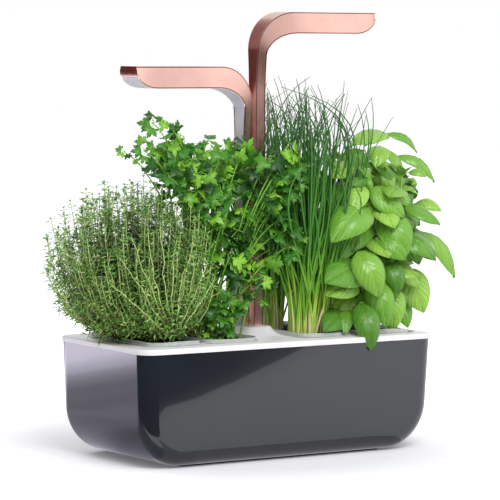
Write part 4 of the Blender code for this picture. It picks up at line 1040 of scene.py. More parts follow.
class GARDEN_OT_thyme(bpy.types.Operator):
    """Round bush of thin arching stems and side shoots with pairs of tiny leaves"""

    bl_idname = "garden.thyme"
    bl_label = "Thyme"

    def execute(self, context):
        settings = context.scene.garden_herbs
        chance = random.Random(settings.seed)
        centre = Vector((-0.160, 0.0, 0.228))
        reach = Vector((0.104, 0.093, 0.092))
        stems = []
        shapes = [thyme_leaf()]
        lower, upper = Foliage(shapes), Foliage(shapes)
        golden = math.pi * (3 - math.sqrt(5))
        count = settings.thyme_stems
        for index in range(count):
            height = 1.0 - 1.66 * ((index + 0.5) / count) ** 1.2
            ring = math.sqrt(max(1 - height * height, 0.0))
            turn = golden * index + chance.uniform(-0.3, 0.3)
            depth = chance.uniform(0.84, 1.03) if index % 2 else chance.uniform(0.45, 0.88)
            tip = centre + Vector((ring * math.cos(turn) * reach.x, ring * math.sin(turn) * reach.y,
                                   height * reach.z)) * depth
            tip.x = min(tip.x, -0.104 - 0.5 * tip.y, -0.062)
            foot = Vector((WELL_X["thyme"] + 0.026 * ring * math.cos(turn) * chance.uniform(0.2, 1.0),
                           0.054 * ring * math.sin(turn) * chance.uniform(0.2, 1.0), SOIL_TOP - MM))
            out = Vector((tip.x - foot.x, tip.y - foot.y, 0.0))
            rise = tip.z - foot.z
            guides = (foot, foot + out * 0.42 + Vector((0, 0, rise * 0.16)),
                      foot + out * 0.92 + Vector((0, 0, rise * 0.50)), tip)
            path = bend_path(guides, 12, (1.0 * MM, 0.45 * MM), 1.0 * MM, chance)
            stems.append(path)
            leaves = upper if tip.z > 0.236 else lower
            self.add_leaves(leaves, path, chance)
            for step in range(3, 11):
                if chance.random() < 0.50:
                    shoot = self.side_shoot(path, step, chance)
                    stems.append(shoot)
                    self.add_leaves(leaves, shoot, chance)
        for guides in self.front_stems():
            path = bend_path(guides, 14, (0.9 * MM, 0.45 * MM), 1.3 * MM, chance)
            stems.append(path)
            self.add_leaves(lower, path, chance)
        # Middle and reach of the painted shade that darkens leaves and stems deep in the bush.
        bush = (centre, 0.040, 0.090)
        bark = stem_skin("thyme_stem", ((0.0, hex_colour("#4A3826")), (0.10, hex_colour("#9A9454")),
                                        (0.26, hex_colour("#CBDC88")), (1.0, hex_colour("#C4DC8E"))),
                         0.137, 0.30, 0.6, bush=bush)
        finish_piece("thyme_stems", tubes(stems, 0), bark, "thyme_cartridge",
                     ["thyme_plant"], 180)
        skin = leaf_skin("thyme_leaf", hex_colour("#3F6E28"), hex_colour("#78B24C"),
                         hex_colour("#C0E286"), 0.42, bush=bush)
        for name, leaves in (("thyme_lower_leaves", lower), ("thyme_upper_leaves", upper)):
            finish_piece(name, leaves.mesh(name), skin, "thyme_cartridge",
                         ["thyme_plant"], 180)
        return {"FINISHED"}

    def front_stems(self):
        """Pale stems that fan out over the front rim, along pixels of the photograph."""
        foot = Vector((-0.128, -0.050, SOIL_TOP - MM))
        for low, middle, tip in (((158, 320), (143, 290), (120, 258)), ((162, 322), (150, 285), (132, 240)),
                                 ((166, 324), (154, 290), (148, 232)), ((168, 322), (164, 285), (160, 226)),
                                 ((170, 324), (170, 290), (176, 240)), ((172, 322), (182, 292), (192, 246)),
                                 ((176, 322), (196, 300), (208, 262)), ((178, 326), (202, 306), (214, 280)),
                                 ((156, 326), (136, 304), (110, 284)), ((174, 326), (178, 300), (184, 268))):
            yield foot, photo_point(*low, -0.078), photo_point(*middle, -0.092), photo_point(*tip, -0.088)

    def side_shoot(self, path, step, chance):
        """A short twig that leaves its stem at an angle and turns upward."""
        start = path[step][0]
        way = (path[step][0] - path[step - 1][0]).normalized()
        side = way.orthogonal().normalized()
        side.rotate(Matrix.Rotation(chance.uniform(0, 2 * math.pi), 3, way))
        length = chance.uniform(9, 20) * MM
        middle = start + (way * 0.7 + side * 0.8).normalized() * length * 0.5
        end = middle + (way * 0.5 + side * 0.5 + Vector((0, 0, 0.4))).normalized() * length * 0.5
        return [(start, 0.45 * MM), (middle, 0.38 * MM), ((middle + end) / 2, 0.33 * MM), (end, 0.3 * MM)]

    def add_leaves(self, leaves, path, chance):
        turn = chance.uniform(0, math.pi)
        for (before, _), (after, _) in zip(path[1:], path[2:]):
            way = (after - before)
            steps = max(1, round(way.length / (5.6 * MM)))
            for step in range(steps):
                place = before + way * (step + chance.random()) / steps
                if place.z < 0.150 and chance.random() < 0.4:
                    continue
                turn += math.pi / 2 + chance.uniform(-0.5, 0.5)
                side = way.orthogonal().normalized()
                side.rotate(Matrix.Rotation(turn, 3, way))
                for sign in (-1, 1):
                    out = (side * sign + way.normalized() * chance.uniform(-0.2, 0.7)).normalized()
                    leaves.add(0, place, out, way, chance.uniform(6.4, 10.6) * MM, chance.uniform(0.8, 1.2))
        tip, way = path[-1][0], path[-1][0] - path[-2][0]
        for step in range(4):
            side = way.orthogonal().normalized()
            side.rotate(Matrix.Rotation(step * math.pi / 2, 3, way))
            leaves.add(0, tip, side * chance.uniform(0.4, 0.9) + way.normalized(), way,
                       chance.uniform(3.8, 6.0) * MM)


def parsley_leaflet(fold, cut, bend):
    """Flat parsley leaflet: a wedge at its foot, three lobes and blunt teeth, folded along its middle."""
    bm = bmesh.new()
    segments = 72
    bmesh.ops.create_circle(bm, cap_ends=True, segments=segments, radius=1.0)
    for vert in bm.verts:
        angle = math.atan2(vert.co.x, vert.co.y)
        share = abs(angle) / math.pi
        lobed = share < 0.66
        lobes = 1.0 - 2 * cut * (1 - abs(math.cos(angle * 180 / 54))) if lobed else 1.0 - 2 * cut
        envelope = 1.0 - 0.42 * share - 0.45 * max(share - 0.55, 0.0) * 2
        teeth = 1.0 - 0.22 * (1 - abs(math.cos(angle * 3 * 180 / 54))) * lobed
        reach = 0.74 * lobes * envelope * teeth
        vert.co = Vector((math.sin(angle) * reach * 1.05, math.cos(angle) * reach, 0.0))
    bmesh.ops.inset_region(bm, faces=bm.faces, thickness=0.14, use_even_offset=False)
    bmesh.ops.poke(bm, faces=[face for face in bm.faces if len(face.verts) > 4])
    bmesh.ops.translate(bm, vec=(0.0, 0.24, 0.0), verts=bm.verts)
    for vert in bm.verts:
        along, across = vert.co.y, vert.co.x
        vert.co.z = fold * abs(across) - bend * along * along + 0.04 * math.sin(across * 13 + along * 8)
    bmesh.ops.solidify(bm, geom=bm.faces[:], thickness=0.012)
    return Shape(bm)


class GARDEN_OT_parsley(bpy.types.Operator):
    """Flat parsley: pale stalks with toothed leaflets in threes"""

    bl_idname = "garden.parsley"
    bl_label = "Parsley"

    def execute(self, context):
        settings = context.scene.garden_herbs
        chance = random.Random(settings.seed + 1)
        stalks = []
        shapes = [parsley_leaflet(0.25, 0.21, 0.30), parsley_leaflet(-0.35, 0.24, 0.10),
                  parsley_leaflet(0.55, 0.19, 0.60)]
        lower, upper = Foliage(shapes), Foliage(shapes)
        for tip, size in self.tips(settings.parsley_leaves, chance):
            foot = Vector((WELL_X["parsley"] + 0.024 * chance.uniform(-1, 1),
                           min(max(tip.y * 0.6, -0.056), 0.050) + 0.008 * chance.uniform(-1, 1),
                           SOIL_TOP - MM))
            rise = tip.z - foot.z
            out = Vector((tip.x - foot.x, tip.y - foot.y, 0.0))
            guides = (foot, foot + out * 0.12 + Vector((0, 0, rise * 0.45)),
                      foot + out * 0.60 + Vector((0, 0, rise * 0.92)), tip)
            path = bend_path(guides, 12, (1.3 * MM, 0.65 * MM), 0.3 * MM, chance)
            stalks.append(path)
            self.add_leaf(upper if tip.z > 0.27 else lower, stalks, path, out, size * 0.92 * MM, chance)
        skin = leaf_skin("parsley_leaf", hex_colour("#1E4D12"), hex_colour("#40851F"),
                         hex_colour("#8ECB38"), 0.40, gloss=0.2)
        pieces = [finish_piece(name, leaves.mesh(name), skin, "parsley_cartridge",
                               ["parsley_plant"], 180)
                  for name, leaves in (("parsley_lower_leaves", lower), ("parsley_upper_leaves", upper))]
        bark = stem_skin("parsley_stalk", ((0.0, hex_colour("#7FA350")), (0.3, hex_colour("#74B03C")),
                                           (1.0, hex_colour("#83BE48"))), 0.137, 0.38, 0.45)
        pieces.append(finish_piece("parsley_stalks", tubes(stalks, 1), bark, "parsley_cartridge",
                                   ["parsley_plant"], 180))
        for piece in pieces:
            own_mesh(piece)
        return {"FINISHED"}

    def tips(self, count, chance):
        """Ends of the stalks: those seen in the photograph, in its pixels with depth and size, then fillers."""
        seen = ((152, 122, 0.0, 20), (166, 122, 0.0, 15), (124, 152, 0.01, 12), (143, 150, -0.01, 17),
                (160, 148, 0.0, 19), (182, 138, 0.0, 22), (170, 143, -0.01, 20), (194, 145, 0.0, 20),
                (168, 176, -0.03, 20), (180, 164, -0.02, 25), (196, 160, 0.0, 26), (211, 157, 0.0, 25),
                (222, 151, 0.01, 19), (238, 156, -0.01, 21), (246, 168, -0.03, 22), (200, 178, -0.03, 28),
                (215, 172, -0.02, 27), (228, 172, -0.02, 27), (240, 182, -0.04, 25), (190, 192, -0.04, 23),
                (205, 197, -0.04, 22), (222, 190, -0.04, 24), (236, 198, -0.05, 20), (262, 146, -0.02, 22),
                (272, 158, -0.058, 26), (284, 168, -0.060, 26), (292, 150, -0.058, 20), (300, 176, -0.062, 20),
                (264, 196, -0.05, 20), (272, 212, -0.058, 24), (280, 220, -0.060, 22), (286, 230, -0.062, 24),
                (291, 246, -0.064, 24), (301, 236, -0.064, 14), (246, 280, -0.05, 19), (262, 277, -0.06, 18),
                (270, 286, -0.06, 14), (234, 252, -0.055, 22), (246, 246, -0.05, 18), (256, 236, -0.045, 20),
                (222, 318, -0.06, 20), (233, 311, -0.06, 20), (214, 336, -0.055, 15), (222, 330, -0.06, 17),
                (242, 300, -0.06, 18), (252, 262, -0.05, 17), (228, 284, -0.06, 20), (250, 205, -0.035, 24),
                (244, 222, -0.035, 24), (256, 220, -0.03, 22), (262, 182, -0.03, 24), (248, 190, -0.03, 24),
                (276, 190, -0.058, 24), (290, 190, -0.060, 22), (296, 164, -0.060, 22), (252, 236, -0.03, 22),
                (270, 250, -0.045, 20), (258, 296, -0.05, 18), (240, 270, -0.045, 22), (218, 300, -0.05, 20))
        tips = [(photo_point(across, down, depth), size) for across, down, depth, size in seen]
        while len(tips) < count:
            angle, ring = chance.uniform(0, 2 * math.pi), chance.random() ** 0.5
            spot = Vector((-0.062 + 0.050 * math.cos(angle) * ring, 0.066 * math.sin(angle) * ring,
                           0.17 + 0.185 * chance.random() ** 0.7))
            tips.append((spot, chance.uniform(18, 25)))
        for tip, size in tips:
            if tip.y > -0.022:
                tip.x = min(tip.x, -0.022)
            yield tip, size

    def add_leaf(self, leaves, stalks, path, lean, size, chance):
        tip = path[-1][0]
        face = (Vector((-0.30, -0.70, 0.80)) + Vector((chance.gauss(0, 0.42), chance.gauss(0, 0.42),
                                                     chance.gauss(0, 0.42)))).normalized()
        out = (lean * 12 + Vector((chance.uniform(-0.6, 0.6), chance.uniform(-0.5, 0.5),
                                   chance.uniform(-0.6, 0.3)))).normalized()
        leaves.add(chance.randrange(3), tip, out, face, size, chance.uniform(0.8, 1.15))
        side = out.cross(face).normalized()
        for sign in (-1, 1):
            reach = tip + (side * sign * 0.55 - out * 0.10) * size * 0.6
            stalks.append([(tip - out * size * 0.15, 0.55 * MM), ((tip + reach) / 2, 0.5 * MM),
                           (reach, 0.4 * MM)])
            turn = (side * sign + out * chance.uniform(0.1, 0.8)).normalized()
            leaves.add(chance.randrange(3), reach, turn, face, size * chance.uniform(0.75, 0.95))
        if tip.z > 0.2 and chance.random() < 0.7:
            back = path[-3][0]
            for sign in (-1, 1):
                reach = back + (side * sign + Vector((0, 0, 0.4))) * size * 0.45
                stalks.append([(back, 0.5 * MM), ((back + reach) / 2, 0.45 * MM), (reach, 0.4 * MM)])
                leaves.add(chance.randrange(3), reach, (side * sign + out * 0.4).normalized(), face,
                           size * chance.uniform(0.65, 0.9))


class GARDEN_OT_chives(bpy.types.Operator):
    """Two tufts of thin round blades, pale at the foot and dark at the tips"""

    bl_idname = "garden.chives"
    bl_label = "Chives"

    def execute(self, context):
        settings = context.scene.garden_herbs
        chance = random.Random(settings.seed + 2)
        blades = []
        tufts = ((Vector((0.059, -0.036)), Vector((0.023, 0.019)), 0.60),
                 (Vector((0.051, 0.032)), Vector((0.014, 0.020)), 1.0))
        for index in range(settings.chives_blades):
            share = index / settings.chives_blades
            middle, half, _ = next(tuft for tuft in tufts if share < tuft[2])
            angle, ring = chance.uniform(0, 2 * math.pi), math.sqrt(chance.random())
            foot = Vector((middle.x + half.x * ring * math.cos(angle),
                           middle.y + half.y * ring * math.sin(angle), SOIL_TOP - MM))
            height = chance.triangular(0.50, 1.0, 0.88)
            length = 0.300 * height
            lean = Vector((0.55 * math.cos(angle) * ring + chance.gauss(0.15, 0.75),
                           0.55 * math.sin(angle) * ring + chance.gauss(-0.1, 0.7), 0.0))
            tilt = chance.gauss(0.14, 0.08) * length
            tip = foot + lean * tilt + Vector((0, 0, length))
            tip.x = min(max(tip.x, 0.024 + 0.68 * max(tip.y, 0.0)), 0.128)
            tip.y = min(max(tip.y, -0.062), 0.062)
            curl = Vector((chance.gauss(0.0, 0.040), chance.gauss(0.0, 0.035), -0.30 * length))
            if chance.random() < 0.30:
                curl = Vector((chance.gauss(0.0, 0.055), chance.gauss(0.0, 0.045), -0.16 * length))
            bow = chance.uniform(0.0, 0.40)
            guide = foot + Vector(((tip.x - foot.x) * bow, (tip.y - foot.y) * bow,
                                   length * chance.uniform(0.30, 0.55)))
            line = interpolate_bezier(foot, guide, tip + curl, tip, 16)
            thick = chance.uniform(1.0, 1.45) * MM
            blades.append([(point, self.radius(step / 15, thick)) for step, point in enumerate(line)])
        for places, depth in (((318, 300, 345, 190, 393, 117), -0.045), ((322, 280, 345, 170, 358, 146), -0.045),
                              ((300, 300, 335, 170, 352, 151), -0.040), ((290, 260, 272, 170, 268, 92), -0.030),
                              ((296, 260, 300, 150, 274, 78), -0.030), ((300, 250, 312, 140, 305, 78), -0.020),
                              ((312, 280, 336, 150, 348, 90), -0.030), ((316, 280, 338, 165, 357, 138), -0.050),
                              ((310, 240, 296, 140, 284, 100), -0.040), ((306, 270, 325, 160, 340, 128), -0.050),
                              ((330, 260, 350, 190, 370, 160), -0.045)):
            near = [photo_point(*places[index:index + 2], depth) for index in (0, 2, 4)]
            foot = Vector((0.045 + (places[0] - 285) / 45 * 0.045, -0.040, SOIL_TOP - MM))
            line = interpolate_bezier(foot, near[0], near[1], near[2], 18)
            blades.append([(point, self.radius(step / 17, 1.15 * MM)) for step, point in enumerate(line)])
        skin = stem_skin("chive_blade", ((0.0, hex_colour("#DEDBA0")), (0.06, hex_colour("#B4D24E")),
                                         (0.17, hex_colour("#7CBC36")), (0.40, hex_colour("#4C8A30")),
                                         (1.0, hex_colour("#3B6236"))), 0.137, 0.44, 0.38)
        piece = finish_piece("chives_blades", tubes(blades, 0), skin, "chives_cartridge",
                             ["chives_plant"], 180)
        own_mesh(piece)
        return {"FINISHED"}

    def radius(self, share, thick):
        """Slightly swollen foot, even middle and a long fine tip."""
        if share < 0.12:
            return thick * (1.35 - 2.5 * share)
        return thick * max(0.22, 1.05 - 0.80 * (max(share - 0.45, 0.0) / 0.55) ** 1.3)


def basil_leaf(droop, cup, twist=0.0):
    """Broad pointed leaf, puffed between its veins, with a sunken midrib."""
    bm = bmesh.new()
    bmesh.ops.create_grid(bm, x_segments=8, y_segments=18, size=1.0)
    uv = bm.loops.layers.uv.new("UVMap")
    for face in bm.faces:
        for loop in face.loops:
            loop[uv].uv = (loop.vert.co.x, (loop.vert.co.y + 1) / 2)
    for vert in bm.verts:
        side, share = vert.co.x, (vert.co.y + 1) / 2
        half = max(0.86 * share ** 0.62 * (1 - share) ** 0.88, 0.006)
        puff = 0.012 * math.sin((share - 0.38 * abs(side)) * 30 + math.pi) * abs(side) * (1 - side * side) * 2.6
        ridge = -0.030 * math.exp(-(side / 0.16) ** 2)
        arch = cup * (1 - side * side) * math.sin(math.pi * min(share * 1.05, 1.0))
        wave = 0.010 * math.sin(share * 11 + side * 2) * side * side
        bend = droop * (share * share - share)
        vert.co = Vector((side * half + twist * share * (1 - share), share,
                          arch + puff * half / 0.3 + ridge - bend + wave + twist * side * half))
    bmesh.ops.solidify(bm, geom=bm.faces[:], thickness=0.008)
    bmesh.ops.remove_doubles(bm, verts=bm.verts, dist=0.0005)
    return Shape(bm)


class GARDEN_OT_basil(bpy.types.Operator):
    """Basil: glossy broad leaves in crossed pairs on green stems"""

    bl_idname = "garden.basil"
    bl_label = "Basil"

    def execute(self, context):
        settings = context.scene.garden_herbs
        chance = random.Random(settings.seed + 3)
        stems = []
        leaves = Foliage([basil_leaf(0.18, 0.10, 0.10), basil_leaf(0.42, 0.13, -0.08),
                          basil_leaf(0.05, 0.16)])
        self.add_seen_leaves(leaves, stems)
        count = settings.basil_stems
        for index in range(count):
            angle = 2 * math.pi * index / count
            foot = Vector((WELL_X["basil"] + 0.016 * math.cos(angle), 0.040 * math.sin(angle),
                           SOIL_TOP - MM))
            top = Vector((0.180 + 0.040 * math.cos(angle), 0.045 * math.sin(angle),
                          chance.uniform(0.27, 0.335)))
            guides = (foot, foot + Vector((0, 0, 0.07)), top - Vector((0, 0, 0.06)), top)
            path = bend_path(guides, 10, (2.2 * MM, 1.1 * MM))
            stems.append(path)
            turn = chance.uniform(0, math.pi)
            for step in range(2, 10):
                place = path[step][0]
                turn += math.pi / 2
                size = (50 - 2.2 * abs(step - 5)) * MM if step < 9 else 24 * MM
                for sign in (0, math.pi):
                    out = Vector((math.cos(turn + sign), math.sin(turn + sign), 0.0))
                    if (place + out * (size + 0.01)).x < 0.108:
                        size *= 0.6
                    if out.x > 0.1:
                        size = min(size, max((0.238 - place.x) / out.x - 8 * MM, 12 * MM) / 1.15)
                    joint = place + (out + Vector((0, 0, 0.5))) * 8 * MM
                    stems.append([(place, 0.8 * MM), (joint, 0.7 * MM)])
                    leaves.add(chance.randrange(2), joint, out + Vector((0, 0, chance.uniform(-1.0, 0.1))),
                               Vector((-0.25, -0.45, 0.85)), size * chance.uniform(0.85, 1.1), chance.uniform(0.95, 1.15))
            for step in range(4):
                out = Vector((math.cos(step * math.pi / 2 + turn), math.sin(step * math.pi / 2 + turn), 0.9))
                leaves.add(2, top, out, Vector((0, 0, 1)) - out * 0.5, (22 - 3 * step) * MM)
        skin = leaf_skin("basil_leaf", hex_colour("#4C8820"), hex_colour("#74B034"),
                         hex_colour("#A2D252"), 0.34, 0.7, 0.3)
        finish_piece("basil_leaves", leaves.mesh("basil_leaves"), skin, "basil_cartridge",
                     ["basil_plant"], 180)
        bark = stem_skin("basil_stem", ((0.0, hex_colour("#8DA659")), (0.4, hex_colour("#93B85A")),
                                        (1.0, hex_colour("#8FBF55"))), 0.137, 0.36, 0.45)
        finish_piece("basil_stems", tubes(stems, 1), bark, "basil_cartridge",
                     ["basil_plant"], 180)
        return {"FINISHED"}

    def add_seen_leaves(self, leaves, stems):
        """The large leaves of the photograph: foot and tip in its pixels, depth, width, kind, upper side."""
        front = Vector((-0.45, -0.75, 0.55))
        top = Vector((-0.1, -0.3, 1.0))
        rows = (((360, 303), (371, 347), -0.075, -0.097, 0.85, 1, front),
                ((376, 238), (404, 258), -0.06, -0.085, 1.10, 1, front),
                ((364, 205), (334, 240), -0.06, -0.080, 1.00, 1, front),
                ((357, 252), (378, 294), -0.075, -0.094, 1.00, 1, front),
                ((386, 213), (403, 257), -0.055, -0.080, 1.05, 1, front),
                ((371, 188), (405, 217), -0.050, -0.075, 1.00, 0, front),
                ((362, 184), (354, 212), -0.055, -0.075, 0.95, 0, front),
                ((396, 156), (432, 180), -0.010, -0.030, 0.60, 1, top),
                ((386, 134), (415, 151), 0.00, -0.010, 0.62, 1, top),
                ((388, 134), (350, 146), 0.00, -0.020, 0.60, 0, top),
                ((414, 231), (452, 274), -0.010, -0.038, 0.70, 1, top),
                ((408, 268), (424, 313), -0.030, -0.050, 1.10, 0, front),
                ((388, 262), (398, 292), -0.065, -0.080, 1.00, 1, front),
                ((386, 285), (393, 328), -0.045, -0.065, 1.00, 1, front),
                ((372, 280), (386, 324), -0.065, -0.085, 0.90, 1, front),
                ((364, 268), (325, 283), -0.055, -0.080, 0.95, 0, front),
                ((358, 285), (326, 296), -0.055, -0.075, 0.75, 0, front),
                ((345, 312), (324, 332), -0.050, -0.075, 0.85, 0, front),
                ((347, 310), (345, 334), -0.060, -0.080, 0.80, 0, front),
                ((380, 146), (376, 166), -0.030, -0.050, 1.10, 1, front),
                ((388, 150), (404, 176), -0.010, -0.030, 0.90, 0, top),
                ((398, 178), (412, 205), -0.020, -0.045, 0.90, 0, front),
                ((408, 204), (426, 216), -0.010, -0.020, 1.00, 0, top),
                ((372, 176), (358, 168), -0.050, -0.060, 0.80, 2, front),
                ((366, 176), (372, 190), -0.055, -0.065, 0.80, 2, front),
                ((368, 178), (350, 186), -0.050, -0.060, 0.70, 2, front),
                ((352, 165), (332, 178), -0.030, -0.050, 0.90, 0, front),
                ((348, 186), (330, 200), -0.020, -0.045, 0.90, 0, front),
                ((352, 232), (336, 262), -0.030, -0.055, 0.90, 0, front),
                ((362, 288), (352, 322), -0.030, -0.050, 1.00, 0, front),
                ((372, 296), (366, 328), -0.010, -0.030, 1.00, 0, front),
                ((400, 296), (408, 328), -0.020, -0.040, 0.90, 0, front),
                ((392, 190), (398, 226), -0.015, -0.030, 1.10, 1, front),
                ((378, 160), (392, 192), -0.020, -0.040, 1.10, 0, front),
                ((404, 226), (418, 262), -0.010, -0.030, 1.00, 1, front),
                ((352, 292), (334, 312), -0.030, -0.050, 1.00, 0, front),
                ((366, 222), (352, 252), -0.035, -0.055, 1.00, 0, front),
                ((384, 172), (410, 194), -0.015, -0.035, 0.95, 0, front),
                ((398, 200), (420, 226), -0.005, -0.020, 0.95, 0, front),
                ((362, 150), (346, 172), -0.015, -0.030, 1.00, 0, front),
                ((386, 240), (412, 262), -0.025, -0.045, 1.00, 0, front))
        for foot_at, tip_at, foot_depth, tip_depth, width, kind, face in rows:
            foot = photo_point(*foot_at, foot_depth)
            tip = photo_point(*tip_at, tip_depth)
            way = tip - foot
            leaves.add(kind, foot, way, face, way.length * (1.08 if kind == 1 else 1.0), width)
            core = Vector((0.165, foot.y * 0.45, foot.z - 0.014))
            bow = (foot + core) / 2 + Vector((0, 0, 0.006))
            stems.append([(core, 0.9 * MM), (bow, 0.8 * MM), (foot, 0.8 * MM)])


# Lamp arms


def arm_stations(top, inset=0.0):
    """Outer point, inner point and half widths of each section of an arm, up to an inset from its tip."""
    outer_x, inner_x = COLUMN_OUTER_X, COLUMN_OUTER_X + COLUMN_THICKNESS
    pairs = [((outer_x, top - ARM_HEIGHT), (inner_x, top - ARM_HEIGHT)),
             ((outer_x, top - WIDEN_DROP), (inner_x, top - WIDEN_DROP))]
    outer_low, inner_low = top - OUTER_BEND_RADIUS, top - HEAD_THICKNESS - INNER_BEND[1]
    for share in (0.25, 0.5, 0.75):
        level = top - WIDEN_DROP + share * (WIDEN_DROP - OUTER_BEND_RADIUS)
        low = top - WIDEN_DROP + share * (WIDEN_DROP - HEAD_THICKNESS - INNER_BEND[1])
        pairs.append(((outer_x, level), (inner_x, low)))
    steps = 20
    for step in range(steps + 1):
        turn = math.pi / 2 * step / steps
        along, rise = 1 - math.cos(turn), math.sin(turn)
        pairs.append(((outer_x + OUTER_BEND_RADIUS * along, outer_low + OUTER_BEND_RADIUS * rise),
                      (inner_x + INNER_BEND[0] * along, inner_low + INNER_BEND[1] * rise)))
    for x in (0.060, 0.070, 0.085, 0.105, 0.125):
        pairs.append(((x, top), (x, top - HEAD_THICKNESS)))
    last = math.asin(1 - inset / TIP_CURVE)
    for step in range(15):
        turn = last * step / 14
        x = ARM_REACH - TIP_CURVE * (1 - math.sin(turn))
        drop = TIP_EDGE + (HEAD_THICKNESS - TIP_EDGE) * math.cos(turn)
        pairs.append(((x, top), (x, top - drop)))
    stations = []
    travelled = 0.0
    for index, (outer, inner) in enumerate(pairs):
        if index > 1:
            before = pairs[index - 1]
            middle = Vector(((outer[0] + inner[0]) / 2, (outer[1] + inner[1]) / 2))
            last = Vector(((before[0][0] + before[1][0]) / 2, (before[0][1] + before[1][1]) / 2))
            travelled += (middle - last).length
        share = min(travelled / WIDEN_LENGTH, 1.0)
        share = share * share * (3 - 2 * share)
        halves = [(low + share * (high - low)) / 2 for low, high in zip(COLUMN_WIDTHS, HEAD_WIDTHS)]
        stations.append((Vector(outer), Vector(inner), *halves))
    return stations


def arm_section(side, outer, inner, outer_half, inner_half):
    return [Vector((side * outer.x, -outer_half, outer.y)), Vector((side * inner.x, -inner_half, inner.y)),
            Vector((side * inner.x, inner_half, inner.y)), Vector((side * outer.x, outer_half, outer.y))]


def grooved_section(side, outer, inner, outer_half, inner_half, seam):
    """Section of an arm with a fine groove along both edges of each side plate."""
    front_outer, front_inner, back_inner, back_outer = arm_section(side, outer, inner, outer_half, inner_half)
    section = []
    for start, end, inward in ((front_outer, front_inner, Vector((0, 1, 0))),
                               (back_inner, back_outer, Vector((0, -1, 0)))):
        way = (end - start).normalized()
        edge, depth = 0.5 * MM, 0.4 * MM
        section += [start, start + way * edge, start + way * (edge + seam / 2) + inward * depth,
                    start + way * (edge + seam), end - way * (edge + seam),
                    end - way * (edge + seam / 2) + inward * depth, end - way * edge, end]
    return section


def arm_channel(side, top, seam):
    """Bent channel, open along its inner face and at its foot, with vents in the head's top."""
    stations = arm_stations(top)
    outside, sides = sweep([grooved_section(side, *station, seam) for station in stations])
    # The groove faces take the second material, whose dark colour is painted shade.
    for row in sides:
        for index in (1, 2, 4, 5, 9, 10, 12, 13):
            row[index].material_index = 1
    hollow = []
    for outer, inner, outer_half, inner_half in arm_stations(top, ARM_WALL):
        way = (inner - outer).normalized()
        lean = (inner_half - outer_half) / (inner - outer).length
        hollow.append(arm_section(side, outer + way * ARM_WALL, inner + way * MM,
                                  outer_half + lean * ARM_WALL - ARM_WALL, inner_half + lean * MM - ARM_WALL))
    hollow[0] = [point - Vector((0, 0, MM)) for point in hollow[0]]
    cavity, _ = sweep(hollow)
    cutters = [cavity]
    for index in range(VENT_COUNT):
        start = VENT_START + index * VENT_PITCH
        ends = sorted((side * start, side * (start + VENT_SIZE[0])))
        slot = box_form((ends[0], -VENT_SIZE[1] / 2, top - ARM_WALL - MM),
                        (ends[1], VENT_SIZE[1] / 2, top + 3 * MM))
        upright = [edge for edge in slot.edges if abs(edge.verts[0].co.z - edge.verts[1].co.z) > MM]
        bmesh.ops.bevel(slot, geom=upright, offset=2.4 * MM, offset_type="OFFSET", segments=4, profile=0.5,
                        affect="EDGES", material=-1, clamp_overlap=True)
        cutters.append(slot)
    mesh = outside
    for cutter in cutters:
        result = cut_form(mesh, cutter)
        mesh = bmesh.new()
        mesh.from_mesh(result)
        bpy.data.meshes.remove(result)
    return mesh


def arm_cover(side, top):
    """Pale cover in the channel's open face, with the window for the light."""
    sections = []
    thickness = 1.6 * MM
    for outer, inner, outer_half, inner_half in arm_stations(top, ARM_WALL + SEAT_GAP):
        outward = (outer - inner).normalized()
        depth = (outer - inner).length
        half = inner_half - ARM_WALL - SEAT_GAP
        narrow = thickness / depth * (inner_half - outer_half)
        sections.append(arm_section(side, inner + outward * thickness, inner, half - narrow, half))
    bm, _ = sweep(sections)
    face = top - HEAD_THICKNESS
    ends = sorted((side * WINDOW[0], side * WINDOW[1]))
    window = box_form((ends[0], -WINDOW[2] / 2, face - 5 * MM), (ends[1], WINDOW[2] / 2, face + 5 * MM))
    return cut_form(bm, window)


class GARDEN_OT_lamps(bpy.types.Operator):
    """Two bent lamp arms with side plates, vents and pale covers"""

    bl_idname = "garden.lamps"
    bl_label = "Lamp arms"

    def execute(self, context):
        settings = context.scene.garden_lamps
        metal = brushed_finish("anodised_copper_aluminium", settings.metal_colour, 0.23, 1.0)
        # The dark groove material is painted shade in the real grooves.
        seam = moulded_plastic("seam_painted_shade", settings.seam_shade_colour, 0.7)
        cover = brushed_finish("lacquered_white_cover", settings.cover_colour, 0.35, 0.0, 0.012)
        for hand, side in (("left", -1), ("right", 1)):
            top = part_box(f"{hand}_arm_housing")[1].z
            shell = finish_piece(f"{hand}_arm_channel", arm_channel(side, top, settings.seam_width),
                                 [metal, seam], f"{hand}_arm", [f"{hand}_arm_housing"], 25)
            weigh_normals(shell)
            inner = finish_piece(f"{hand}_arm_inner_cover", arm_cover(side, top), cover, f"{hand}_arm",
                                 [f"{hand}_arm_cover"], 30)
            weigh_normals(inner)
        return {"FINISHED"}


# Pieces that keep their CAD shape


def coiled_lead(low, high):
    """Thin lead coiled seven times between two corners of its space."""
    middle = (low + high) / 2
    wire, turns, steps = 0.8 * MM, 7, 16
    coil = (high.x - low.x) / 2 - wire
    count = turns * steps
    path = []
    for step in range(count + 1):
        turn = 2 * math.pi * step / steps
        height = low.z + wire + (high.z - low.z - 2 * wire) * step / count
        path.append((Vector((middle.x + coil * math.cos(turn), middle.y + coil * math.sin(turn), height)),
                     wire))
    return path


